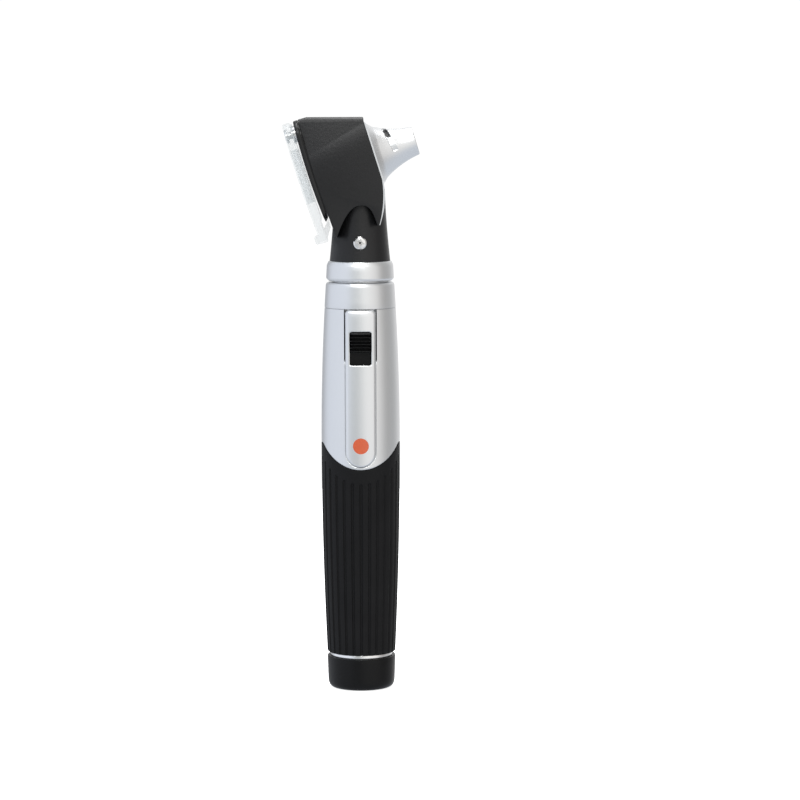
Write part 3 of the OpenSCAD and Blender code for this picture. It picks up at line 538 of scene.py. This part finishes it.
def pocket_clip():
    """Long clip that follows the barrel: rolled edges, round lower end and the switch's window."""
    half, foot = CLIP_HALF, CLIP_END + CLIP_HALF
    insets = [0.0, 0.06, 0.16, 0.32, 0.52, 0.8]
    cols = [half - i for i in insets] + [WINDOW_HALF + 0.12, WINDOW_HALF, WINDOW_HALF - 0.17,
                                         WINDOW_HALF - 0.33, WINDOW_HALF - 0.5, 1.9, 1.2, 0.6, 0.0]
    cols = sorted(set([-c for c in cols] + cols))
    heights = []
    for k in range(0, 17):
        heights.append(foot - half * math.sin(math.radians(87 * (16 - k) / 16)))
    heights += [foot + (WINDOW_Z0 - 0.3 - foot) * i / 18 for i in range(1, 19)]
    for z in (WINDOW_Z0 - 0.12, WINDOW_Z0, WINDOW_Z0 + 0.17, WINDOW_Z0 + 0.33, WINDOW_Z0 + 0.5):
        heights.append(z)
    heights += [WINDOW_Z0 + 0.5 + (WINDOW_Z1 - WINDOW_Z0 - 1.0) * i / 6 for i in range(1, 7)]
    heights += [WINDOW_Z1 - 0.33, WINDOW_Z1 - 0.17, WINDOW_Z1, WINDOW_Z1 + 0.12, WINDOW_Z1 + 0.4]
    heights += [WINDOW_Z1 + 0.4 + (CLIP_TOP - 0.9 - WINDOW_Z1 - 0.4) * i / 5 for i in range(1, 6)]
    heights += [CLIP_TOP - d for d in (0.72, 0.52, 0.34, 0.2, 0.1, 0.04, 0.0)]
    corner = 0.9

    def width(z):
        if z < foot:
            return math.sqrt(max(0.0, half ** 2 - (foot - z) ** 2))
        drop = CLIP_TOP - z
        if drop < corner:
            return half - corner + math.sqrt(max(0.0, corner ** 2 - (corner - drop) ** 2))
        return half

    def into_window(x, z):
        return abs(x) < WINDOW_HALF - 1e-6 and WINDOW_Z0 + 1e-6 < z < WINDOW_Z1 - 1e-6

    bm = bmesh.new()
    front, back = [], []
    for z in heights:
        w = max(0.25, width(z))
        f_row, b_row = [], []
        for c in cols:
            x = c * w / half
            zz = z
            # the window's corners are rounded
            on_side = abs(abs(c) - WINDOW_HALF) < 1e-6 and WINDOW_Z0 - 1e-6 <= z <= WINDOW_Z1 + 1e-6
            on_end = (abs(z - WINDOW_Z0) < 1e-6 or abs(z - WINDOW_Z1) < 1e-6) and abs(c) <= WINDOW_HALF + 1e-6
            if on_side or on_end:
                r = 0.5
                cx = math.copysign(WINDOW_HALF - r, c)
                cz = WINDOW_Z0 + r if z < (WINDOW_Z0 + WINDOW_Z1) / 2 else WINDOW_Z1 - r
                dx, dz = x - cx, z - cz
                if dx * math.copysign(1, c) > 0 and dz * (1 if z > 96 else -1) > 0:
                    size = math.hypot(dx, dz)
                    x, zz = cx + dx / size * r, cz + dz / size * r
            inside = max(0.0, clip_edge(x, zz))
            drop = 0.62 * (1 - min(1.0, inside / 0.55)) ** 2.2
            gap_x, gap_z = abs(x) - WINDOW_HALF, max(WINDOW_Z0 - zz, zz - WINDOW_Z1)
            to_window = max(gap_x, gap_z)
            if to_window < 0.12:
                drop += 0.10 * (1 - max(0.0, to_window) / 0.12)
            near_top = CLIP_TOP - zz
            if near_top < 1.3:
                drop += 0.22 * (1 - near_top / 1.3) ** 2
            ro = barrel_r(zz) + 0.95 - drop
            ri = barrel_r(zz) - 0.10 - 0.12 * slot_share(zz)
            f_row.append(bm.verts.new((x, -math.sqrt(ro * ro - x * x), zz)))
            b_row.append(bm.verts.new((x, -math.sqrt(ri * ri - x * x), zz)))
        front.append(f_row)
        back.append(b_row)
    kept = {}
    for i in range(len(heights) - 1):
        for j in range(len(cols) - 1):
            mx, mz = (cols[j] + cols[j + 1]) / 2, (heights[i] + heights[i + 1]) / 2
            kept[i, j] = not into_window(mx, mz)
    for (i, j), keep in kept.items():
        if not keep:
            continue
        bm.faces.new((front[i][j], front[i][j + 1], front[i + 1][j + 1], front[i + 1][j]))
        bm.faces.new((back[i][j], back[i + 1][j], back[i + 1][j + 1], back[i][j + 1]))
        for di, dj, a, b in ((-1, 0, (i, j), (i, j + 1)), (1, 0, (i + 1, j), (i + 1, j + 1)),
                             (0, -1, (i, j), (i + 1, j)), (0, 1, (i, j + 1), (i + 1, j + 1))):
            if not kept.get((i + di, j + dj), False):
                fa, fb, ba, bb = front[a[0]][a[1]], front[b[0]][b[1]], back[a[0]][a[1]], back[b[0]][b[1]]
                bm.faces.new((fa, fb, bb, ba))
    return finish_mesh("clip_spring", bm, 50, 0.0005)


settle(pocket_clip(), "clip", "clip_silver", "pocket_clip")


def switch_knob():
    """Knob with six rolled ridges and softened ends."""
    low, pitch = KNOB_TOP - KNOB_H, KNOB_H / RIDGES
    profile = [(WELL_Y + 0.06, low + 0.02)]
    for i in range(RIDGES):
        base = low + i * pitch
        for t, y in ((0.02, 11.18), (0.20, 11.22), (0.36, 11.5), (0.48, 11.72), (0.62, 11.84), (0.76, 11.82),
                     (0.88, 11.62), (0.97, 11.28)):
            profile.append((y, base + t * pitch))
    profile += [(11.2, KNOB_TOP), (WELL_Y + 0.06, KNOB_TOP)]
    bm = bmesh.new()
    sections = []
    for x, inset in ((-KNOB_HALF, 0.16), (-KNOB_HALF + 0.05, 0.06), (-KNOB_HALF + 0.16, 0.0), (-1.2, 0.0),
                     (0, 0.0), (1.2, 0.0), (KNOB_HALF - 0.16, 0.0),
                     (KNOB_HALF - 0.05, 0.06), (KNOB_HALF, 0.16)):
        bow = 0.10 * (x / KNOB_HALF) ** 2
        sections.append([bm.verts.new((x, -(y - (inset + bow) * (1 if y > 10 else 0)),
                                       min(max(z, low + inset), KNOB_TOP - inset))) for y, z in profile])
    for k in range(len(sections) - 1):
        one, two = sections[k], sections[k + 1]
        for i in range(len(one)):
            j = (i + 1) % len(one)
            bm.faces.new((one[i], two[i], two[j], one[j]))
    bm.faces.new(sections[0])
    bm.faces.new(sections[-1][::-1])
    bmesh.ops.triangulate(bm, faces=[f for f in bm.faces if len(f.verts) > 4])
    obj = finish_mesh("knob_cap", bm, 50, 0.0005)
    bm = bmesh.new()
    bmesh.ops.create_cube(bm, size=1.0)
    bmesh.ops.scale(bm, vec=(1.9, 2.2, 2.2), verts=bm.verts)
    bmesh.ops.translate(bm, vec=(0.0, -9.2, KNOB_TOP - 1.4), verts=bm.verts)
    cut(obj, finish_mesh("knob_stem", bm), "UNION")
    return obj


settle(switch_knob(), "switch", "black_satin", "switch_knob")


def on_mark():
    """Plain raised stroke in the switch's well."""
    bm = bmesh.new()
    bmesh.ops.create_cube(bm, size=1.0)
    bmesh.ops.scale(bm, vec=(0.34, 0.16, 1.7), verts=bm.verts)
    bmesh.ops.translate(bm, vec=(0.0, 0.05 - WELL_Y, 93.6), verts=bm.verts)
    obj = finish_mesh("well_mark", bm)
    bevelled(obj, 0.02, 2)
    return obj


settle(on_mark(), "handle", "black_satin")


# ---------------------------------------------------------------- head
def neck():
    wall_z = [NECK_Z + 0.4 + (NECK_TOP - NECK_Z - 0.8) * i / 24 for i in range(25)]
    outer = [(8.38, NECK_Z), (neck_r(NECK_Z + 0.1), NECK_Z + 0.1)] + [(neck_r(z), z) for z in wall_z]
    top = [(6.75, NECK_TOP), (1.35, NECK_TOP)]
    inner = [(1.35, 135.6), (3.0, 135.5), (6.0, 130.5), (6.3, 130.4), (6.3, NECK_Z)]
    obj = lathe("neck_shell", outer + top + inner, 144, 40)
    bm = bmesh.new()
    bmesh.ops.create_cone(bm, cap_ends=True, segments=64, radius1=1.95 * MM, radius2=1.95 * MM, depth=6 * MM)
    bmesh.ops.transform(bm, matrix=Matrix.Translation((0, -10.6 * MM,
                                                       SCREW_Z * MM)) @ Matrix.Rotation(math.pi / 2, 4, "X"),
                        verts=bm.verts)
    mesh = bpy.data.meshes.new("bore")
    bm.to_mesh(mesh)
    bm.free()
    tool = bpy.data.objects.new("bore", mesh)
    scene.collection.objects.link(tool)
    cut(obj, tool)
    bm = bmesh.new()
    bmesh.ops.create_cone(bm, cap_ends=True, segments=96, radius1=9.7 * MM, radius2=9.7 * MM, depth=20 * MM)
    x, z = head_xz(BEZEL_U + 10, 0)
    bmesh.ops.transform(bm, matrix=Matrix.Translation((x * MM, 0,
                                                       z * MM)) @ Matrix.Rotation(math.pi / 2 - TILT, 4, "Y"),
                        verts=bm.verts)
    mesh = bpy.data.meshes.new("flange")
    bm.to_mesh(mesh)
    bm.free()
    tool = bpy.data.objects.new("flange", mesh)
    scene.collection.objects.link(tool)
    cut(obj, tool)
    return obj


settle(neck(), "head", "black_head", "neck")


def cone():
    """Flared cone with two climbing lug grooves, each deep where it starts."""
    length = 10.2
    sides, rows = 240, 90
    flange = cone_r(length)
    outer = [(3.62, -0.25), (3.72, -0.06), (3.82, 0.0), (3.92, -0.04), (3.99, -0.14)]
    outer += [(cone_r(t), -t) for t in [0.3 + (length - 0.3) * i / rows for i in range(rows + 1)]]
    outer += [(flange + 0.18, -10.45), (flange + 0.38, -10.7), (flange + 0.6, -10.95),
              (flange + 0.88, -11.22), (flange + 1.2, -11.5),
              (flange + 1.5, BEZEL_U + BEZEL_T), (8.2, BEZEL_U + BEZEL_T), (6.9, -10.8), (6.3, -9.5),
              (4.85, -6.5), (3.6, -0.8)]

    def radius_at(a, r, z):
        # a is measured from the -Y side; on the sight line, "down" is +X, so the top is -X
        t = -z
        if r < cone_r(max(t, 0)) - 0.01 or t < 1 or t > length:
            return r
        for turn in (0.0, math.pi):
            from_top = math.degrees((a + math.pi / 2 + turn) % (2 * math.pi))
            if 8 < from_top < 106:
                centre = 7.4 - 1.3 * (from_top - 15) / 83
                width = 0.72
                across = abs(t - centre) / width
                ends = smooth((from_top - 12) / 4) * smooth((101 - from_top) / 3)
                if across < 1.25:
                    wall = smooth((1.12 - across) / 0.24) * ends
                    depth = max(0.0, r - cone_r(centre) + 0.3)
                    return r - depth * wall
        return r

    obj = lathe("cone_shell", outer, sides, 40, radius_at)
    for turn in (0.0, math.pi):
        bm = bmesh.new()
        rings = []
        for k in range(13):
            share = k / 12
            a = math.radians(8 + 46 * share) - math.pi / 2 + turn
            half = 0.05 + 0.66 * math.sqrt(max(0.0, 1 - (1 - min(1.0, share / 0.55)) ** 2))
            middle = 7.5 - 0.71 * share
            low = middle + half * (1.0 if share < 0.8 else 1 - 2.2 * (share - 0.8))
            rings.append([bm.verts.new((r * math.sin(a), -r * math.cos(a), -t))
                          for r, t in ((4.5, middle - half), (4.5, low), (8.5, low), (8.5, middle - half))])
        for one, two in zip(rings, rings[1:]):
            for i in range(4):
                j = (i + 1) % 4
                bm.faces.new((one[i], one[j], two[j], two[i]))
        bm.faces.new(rings[0][::-1])
        bm.faces.new(rings[-1])
        bmesh.ops.triangulate(bm, faces=bm.faces[:])
        cut(obj, finish_mesh("lug_entry", bm))
    return on_sight_line(obj)


settle(cone(), "head", "satin_silver", "speculum_cone")
# Thin black sheet lining the cone over the light guide: painted shade, a dark sheet that makes the lug
# grooves look dark and deep
settle(on_sight_line(lathe("groove_shade_sheet", [(4.74, -6.5), (6.14, -10.45), (6.3, -10.45), (4.82, -6.5)], 96)),
       "head", "black_head")


def arch_z(x):
    return ARCH_TOP[1] - (0.07 * (x - ARCH_TOP[0]) ** 2.9 if x > ARCH_TOP[0]
                          else 0.135 * (ARCH_TOP[0] - x) ** 2.2)


def front_edge(steps=10):
    """Curved front edge of the case, from the cone down to its tip."""
    top, tip = Vector(head_xz(BEZEL_U, -7.3)), Vector(FRONT_TIP)
    d = tip - top
    c = d.length
    n = Vector((d.y, -d.x)) / c
    centre = (top + tip) / 2 + n * math.sqrt(FRONT_EDGE_R ** 2 - c * c / 4)
    a0 = math.atan2(top.y - centre.y, top.x - centre.x)
    a1 = math.atan2(tip.y - centre.y, tip.x - centre.x)
    turns = [a0 + (a1 - a0) * i / steps for i in range(steps + 1)]
    return [(centre.x + FRONT_EDGE_R * math.cos(a), centre.y + FRONT_EDGE_R * math.sin(a)) for a in turns]


def case_side(x, z):
    """Half width of the case: a flat facet above the crease, and a roll to upright below it."""
    ax, az = CREASE_A
    bx, bz = CREASE_B
    length = math.hypot(bx - ax, bz - az)
    up = (-(x - ax) * (bz - az) + (z - az) * (bx - ax)) / length
    roll, lean = 9.0, math.radians(15.0)
    at_crease = CASE_HALF - math.tan(lean) * roll / 3
    if up >= 0:
        return at_crease - math.tan(math.radians(8.5)) * up
    if up > -roll:
        return CASE_HALF - math.tan(lean) * roll / 3 * (1 + up / roll) ** 3
    return CASE_HALF


def head_case():
    back = [CASE_FOOT_W + (TOP_W - CASE_FOOT_W) * i / 12 for i in range(13)]
    back = [head_xz(CASE_REAR_U + bow(CASE_BOW, w), w) for w in back]
    outline = [back[-1], (head_xz(-26.9, TOP_W)[0], CASE_TOP), (1.0, CASE_TOP), head_xz(BEZEL_U, 9.45)]
    outline += front_edge() + [(5.15, 130.1), (4.85, 130.35)]
    outline += [(x, arch_z(x)) for x in [ARCH_FRONT + (ARCH_REAR - ARCH_FRONT) * i / 24 for i in range(25)]]
    outline += back[:-1]
    bm = bmesh.new()
    verts = [bm.verts.new((x, 0, z)) for x, z in outline]
    bm.faces.new(verts)
    ax, az = CREASE_A
    bx, bz = CREASE_B
    along = Vector((bx - ax, 0, bz - az)).normalized()
    normal = Vector((-along.z, 0, along.x))
    for up in [0.0, -0.4, -0.9, -1.5, -2.1, -2.8, -3.5, -4.3, -5.1, -6.0, -7.0, -8.0, -9.0]:
        bmesh.ops.bisect_plane(bm, geom=bm.verts[:] + bm.edges[:] + bm.faces[:], dist=1e-5,
                               plane_co=Vector((ax, 0, az)) + normal * up, plane_no=normal)
    base = [v for v in bm.verts]
    made = bmesh.ops.extrude_face_region(bm, geom=bm.faces[:])
    other = [v for v in made["geom"] if isinstance(v, bmesh.types.BMVert)]
    for v in base:
        v.co.y = -case_side(v.co.x, v.co.z)
    for v in other:
        v.co.y = case_side(v.co.x, v.co.z)
    bmesh.ops.recalc_face_normals(bm, faces=bm.faces)
    weight = bm.edges.layers.float.new("bevel_weight_edge")
    top_line = [Vector((outline[i][0], outline[i][1])) for i in range(3)]

    def on_top(v):
        p = Vector((v.co.x, v.co.z))
        for i in range(2):
            a, b = top_line[i], top_line[i + 1]
            t = max(0, min(1, (p - a).dot(b - a) / (b - a).length_squared))
            if (p - (a + (b - a) * t)).length < 1e-3:
                return True
        return False

    for edge in bm.edges:
        if len(edge.link_faces) != 2 or edge.calc_face_angle(0) < math.radians(28):
            continue
        if edge.verts[0].co.y * edge.verts[1].co.y < 0:
            edge[weight] = 0.16
        else:
            edge[weight] = 1.0 if on_top(edge.verts[0]) and on_top(edge.verts[1]) else 0.16
    obj = finish_mesh("case_shell", bm, 20)
    mod = obj.modifiers.new("bevel", "BEVEL")
    mod.width, mod.segments, mod.limit_method = 1.15 * MM, 3, "WEIGHT"
    mod.profile = 0.55
    mod.use_clamp_overlap = True
    apply_modifiers(obj, 20)
    # hollow inside, with openings for the lens, the cone and the neck
    wall = 1.4
    hollow = [head_xz(CASE_REAR_U + wall, 13.4), (head_xz(-26.2, 13.4)[0], CASE_TOP - wall - 0.3),
              (head_xz(-13.2, 9.6)[0], CASE_TOP - wall - 0.3),
              head_xz(BEZEL_U - 0.8, 8.4), head_xz(BEZEL_U - 0.8, -8.6), (5.0, 137), (4.9, 129), (3, 121),
              (-3, 121), (-5.6, 125), head_xz(CASE_REAR_U + wall, -15.6)]
    bm = bmesh.new()
    sides = []
    for s in (-1, 1):
        sides.append([bm.verts.new((x, s * min(8.1, case_side(x, z) - 0.95), z)) for x, z in hollow])
    for i in range(len(hollow)):
        j = (i + 1) % len(hollow)
        bm.faces.new((sides[0][i], sides[0][j], sides[1][j], sides[1][i]))
    bm.faces.new(sides[0][::-1])
    bm.faces.new(sides[1])
    bmesh.ops.triangulate(bm, faces=bm.faces[:])
    cut(obj, finish_mesh("hollow", bm))
    bore = lathe("bore", [(0, CASE_REAR_U - 2), (8.2, CASE_REAR_U - 2), (8.2, CASE_REAR_U + 6),
                          (SIGHT_BORE_R, CASE_REAR_U + 6), (SIGHT_BORE_R, BEZEL_U + 2), (0, BEZEL_U + 2)], 96)
    on_sight_line(bore)
    cut(obj, bore)
    neck_wall = [(neck_r(z) + 0.12, z) for z in [NECK_Z + (NECK_TOP - NECK_Z) * i / 16 for i in range(17)]]
    neck_tool = lathe("neck_tool", [(0, NECK_Z)] + neck_wall + [(0, NECK_TOP + 0.12)], 96)
    cut(obj, neck_tool)
    apply_modifiers(obj, 24)
    return obj


settle(head_case(), "head", "black_head", "head_case")


def frame_outline(half, top, arc, steps=10):
    """Frame's outline seen along the sight line, as [down, across].

    It has round shoulders above and an arc about the pivot below."""
    r = 4.0
    out = []
    reach = math.asin(half / arc)
    for i in range(steps * 3 + 1):
        a = -reach + 2 * reach * i / (steps * 3)
        out.append((-PIVOT_W + arc * math.cos(a), arc * math.sin(a)))
    for i in range(steps + 1):
        a = math.pi / 2 * i / steps
        out.append((-top + r - r * math.sin(a), half - r + r * math.cos(a)))
    for i in range(steps + 1):
        a = math.pi / 2 * i / steps
        out.append((-top + r - r * math.cos(a), -half + r - r * math.sin(a)))
    return out


def bowed(obj, rear, rear_curve, front, front_curve, foot_slope=0.0, sharp=35.0):
    """Bows a flat plate towards the examiner, its rear face by one curve and its front face by another."""
    bm = bmesh.new()
    bm.from_mesh(obj.data)
    for w in range(-20, 17, 2):
        bmesh.ops.bisect_plane(bm, geom=bm.verts[:] + bm.edges[:] + bm.faces[:], dist=1e-7,
                               plane_co=(-w * MM, 0, 0), plane_no=(1, 0, 0))
    for v in bm.verts:
        x, y, z = v.co / MM
        share = (z - rear) / (front - rear)
        if foot_slope and x > 9 and math.hypot(x + PIVOT_W, y) > FOOT_ARC_R - 0.8:
            grow = foot_slope * (0.37 - share) / math.hypot(x + PIVOT_W, y)
            x, y = x + (x + PIVOT_W) * grow, y + y * grow
        share = min(1.0, max(0.0, share))
        v.co = Vector((x, y, z + bow(rear_curve, -x) * (1 - share) + bow(front_curve, -x) * share)) * MM
    for face in bm.faces:
        face.smooth = True
    for edge in bm.edges:
        edge.smooth = len(edge.link_faces) == 2 and edge.calc_face_angle(0) < math.radians(sharp)
    bm.to_mesh(obj.data)
    bm.free()
    return obj


def rear_frame():
    """The frame, bowed and with a sloping foot, and the thinner neck that makes the seam in front of it."""
    front = CASE_REAR_U - SEAM
    obj = plate("window_frame", frame_outline(9.3, TOP_W - 0.05, FOOT_ARC_R),
                [ring_points(SIGHT_BORE_R), ring_points(1.0, 24, -PIVOT_W)], FRAME_REAR_U, front)
    bevelled(obj, 0.2, 2, 50)
    bowed(obj, FRAME_REAR_U, FRAME_BOW, front, CASE_BOW, 1.09)
    seat = plate("frame_neckline", frame_outline(8.7, TOP_W - 0.65, FOOT_ARC_R - 0.9),
                 [ring_points(SIGHT_BORE_R), ring_points(1.0, 24, -PIVOT_W)], front - 0.05, CASE_REAR_U)
    bowed(seat, front - 0.05, CASE_BOW, CASE_REAR_U, CASE_BOW)
    return on_sight_line(obj), on_sight_line(seat)


plate_obj, spacer = rear_frame()
settle(plate_obj, "head", "black_head", "rear_frame")
settle(spacer, "head", "black_head")


def pane_points(half, inset, foot, steps=8):
    """Window's outline: round shoulders, sides that taper in towards the thumb tab."""
    top, r = TOP_W - inset, 4.2 - inset
    raw = [(-top, -half), (-top, half), (10.5, half), (foot, 5.4), (foot, -5.4), (10.5, -half)]
    return rounded(raw, [r, r, 3.0, 1.2, 1.2, 3.0], steps)


def side_block(name, outline, half):
    """A block of half width half along Y from its [x, z] outline."""
    bm = bmesh.new()
    near, far = [[bm.verts.new((x, y, z)) for x, z in outline] for y in (-half, half)]
    for i in range(len(outline)):
        j = (i + 1) % len(outline)
        bm.faces.new((near[i], near[j], far[j], far[i]))
    bm.faces.new(near[::-1])
    bm.faces.new(far)
    return finish_mesh(name, bm)


def window():
    """Clear window: a bowed pane, a raised plate round the lens, a thumb tab behind and a stop in front."""
    obj = plate("window_pane", pane_points(9.35, 0.0, PANE_FOOT), [], PANE_REAR_U, PANE_FRONT_U)
    bevelled(obj, 0.25, 3, 50)
    bowed(obj, PANE_REAR_U, PANE_BOW, PANE_FRONT_U, PANE_BOW)
    raised = plate("raised", rounded([(0.5 - TOP_W, -8.9), (0.5 - TOP_W, 8.9), (13.0, 8.9), (13.0, -8.9)],
                                     [3.7, 3.7, 2.0, 2.0], 8),
                   [], PANE_FRONT_U - 0.3, PANE_FRONT_U + 0.5)
    bevelled(raised, 0.15, 2, 50)
    bowed(raised, PANE_FRONT_U - 0.3, PANE_BOW, PANE_FRONT_U + 0.5, PANE_BOW)
    cut(obj, raised, "UNION")
    tab = side_block("tab", rounded([(PANE_FOOT - 2.3, PANE_REAR_U + 0.7),
                                     (PANE_FOOT - 0.1, PANE_REAR_U + 0.7),
                                     (PANE_FOOT - 0.1, PANE_REAR_U - 0.83),
                                     (PANE_FOOT - 2.3, PANE_REAR_U - 0.83)], [0, 0, 0.6, 0.6], 5), 4.8)
    cut(obj, tab, "UNION")
    stop = side_block("stop", [(15.9, PANE_FRONT_U + 0.2), (PANE_FOOT - 0.15, PANE_FRONT_U + 0.2),
                               (17.38, -30.9), (15.7, -29.75), (13.35, -29.65)], 3.5)
    cut(obj, stop, "UNION")
    for name, r, x, z0, z1 in (("lens_seat", 7.8, 0, PANE_REAR_U - 2, PANE_FRONT_U + 2),
                               ("pivot_hole", PIVOT_HOLE_R, -PIVOT_W, PANE_REAR_U - 1, PANE_FRONT_U + 2),
                               ("head_seat", 2.0, -PIVOT_W, PANE_REAR_U - 1, PANE_REAR_U + 0.95),
                               ("washer_seat", 2.7, -PIVOT_W, PANE_FRONT_U - 0.02, PANE_FRONT_U + 2)):
        tool = lathe(name, [(0, z0), (r, z0), (r, z1), (0, z1)], 96)
        tool.data.transform(Matrix.Translation((x * MM, 0, 0)))
        cut(obj, tool)
    return on_sight_line(obj)


settle(window(), "window", "clear_window", "window_plate")


# ---------------------------------------------------------------- camera, light and floor
camera_data = bpy.data.cameras.new("camera")
camera = bpy.data.objects.new("camera", camera_data)
scene.collection.objects.link(camera)
scene.camera = camera
camera.location = (-0.00375, -0.85, 0.170)
aim = (Vector((0.01105, 0, 0.0810)) - camera.location).to_track_quat("-Z", "Y")
camera.rotation_euler = (aim.to_matrix() @ Matrix.Rotation(math.radians(-0.15), 3, "Z")).to_euler()
camera_data.lens, camera_data.sensor_width, camera_data.clip_start = 137.4, 36, 0.01
scene.view_settings.view_transform = "Standard"

world = bpy.data.worlds.new("studio")
scene.world = world
world.use_nodes = True
tree = world.node_tree
new, link = tree.nodes.new, tree.links.new
back = tree.nodes["Background"]
coords = new("ShaderNodeTexCoord")
split = new("ShaderNodeSeparateXYZ")
link(coords.outputs["Generated"], split.inputs["Vector"])
minus = new("ShaderNodeMath")
minus.operation = "MULTIPLY"
minus.inputs[1].default_value = -1.0
link(split.outputs["Y"], minus.inputs[0])
around = new("ShaderNodeMath")
around.operation = "ARCTAN2"
link(split.outputs["X"], around.inputs[0])
link(minus.outputs[0], around.inputs[1])
share = new("ShaderNodeMapRange")
share.inputs["From Min"].default_value, share.inputs["From Max"].default_value = -math.pi, math.pi
link(around.outputs[0], share.inputs["Value"])
ramp = new("ShaderNodeValToRGB")
ramp.color_ramp.interpolation = "EASE"
stops = [(-180, (.95, .95, .95)), (-150, (.42, .43, .45)), (-110, (.80, .84, .92)), (-45, (.84, .88, .96)),
         (-14, (.48, .50, .50)),
         (22, (1.0, .99, .97)), (50, (.92, .90, .88)), (84, (.40, .39, .38)), (112, (.46, .46, .46)),
         (150, (.85, .85, .85)), (180, (.95, .95, .95))]
while len(ramp.color_ramp.elements) > 1:
    ramp.color_ramp.elements.remove(ramp.color_ramp.elements[-1])
for i, (angle, colour) in enumerate(stops):
    item = ramp.color_ramp.elements[0] if i == 0 else ramp.color_ramp.elements.new((angle + 180) / 360)
    item.position = (angle + 180) / 360
    item.color = (*colour, 1)
link(share.outputs["Result"], ramp.inputs["Fac"])
down = new("ShaderNodeMapRange")
down.interpolation_type = "SMOOTHSTEP"
down.inputs["From Min"].default_value, down.inputs["From Max"].default_value = -0.10, -0.60
link(split.outputs["Z"], down.inputs["Value"])
shade = new("ShaderNodeMix")
shade.data_type = "RGBA"
shade.inputs["B"].default_value = (0.66, 0.70, 0.76, 1)
link(ramp.outputs["Color"], shade.inputs["A"])
link(down.outputs["Result"], shade.inputs["Factor"])
path = new("ShaderNodeLightPath")
pick = new("ShaderNodeMix")
pick.data_type = "RGBA"
pick.inputs["B"].default_value = (1.05, 1.05, 1.05, 1)
link(path.outputs["Is Camera Ray"], pick.inputs["Factor"])
link(shade.outputs["Result"], pick.inputs["A"])
link(pick.outputs["Result"], back.inputs["Color"])
back.inputs["Strength"].default_value = 1.0


def area(name, place, aim, size, power, colour=(1, 1, 1)):
    lamp = bpy.data.lights.new(name, "AREA")
    lamp.shape, lamp.size, lamp.size_y, lamp.energy, lamp.color = "RECTANGLE", size[0], size[1], power, colour
    obj = bpy.data.objects.new(name, lamp)
    scene.collection.objects.link(obj)
    obj.location = place
    obj.rotation_euler = (Vector(aim) - obj.location).to_track_quat("-Z", "Y").to_euler()
    return obj


area("front_softbox", (-0.10, -1.2, 0.84), (0, 0, 0.15), (0.9, 0.40), 5.0)
area("top_softbox", (-0.05, 0.0, 1.1), (0, 0, 0), (0.8, 0.45), 6.0)

floor_mesh = bpy.data.meshes.new("floor")
bm = bmesh.new()
bmesh.ops.create_circle(bm, cap_ends=True, segments=96, radius=FLOOR_R)
bm.to_mesh(floor_mesh)
bm.free()
floor = bpy.data.objects.new("floor", floor_mesh)
floor.visible_glossy = False
scene.collection.objects.link(floor)
floor.location.z = -0.0002
floor_mesh.materials.append(shader("floor_paper", (0.93, 0.93, 0.93), 0.9, 0.0, 0.004, (200, 0.0), 0.02,
                                   Specular_IOR_Level=0.1, Emission_Color=(1, 1, 1, 1),
                                   Emission_Strength=FLOOR_GLOW))
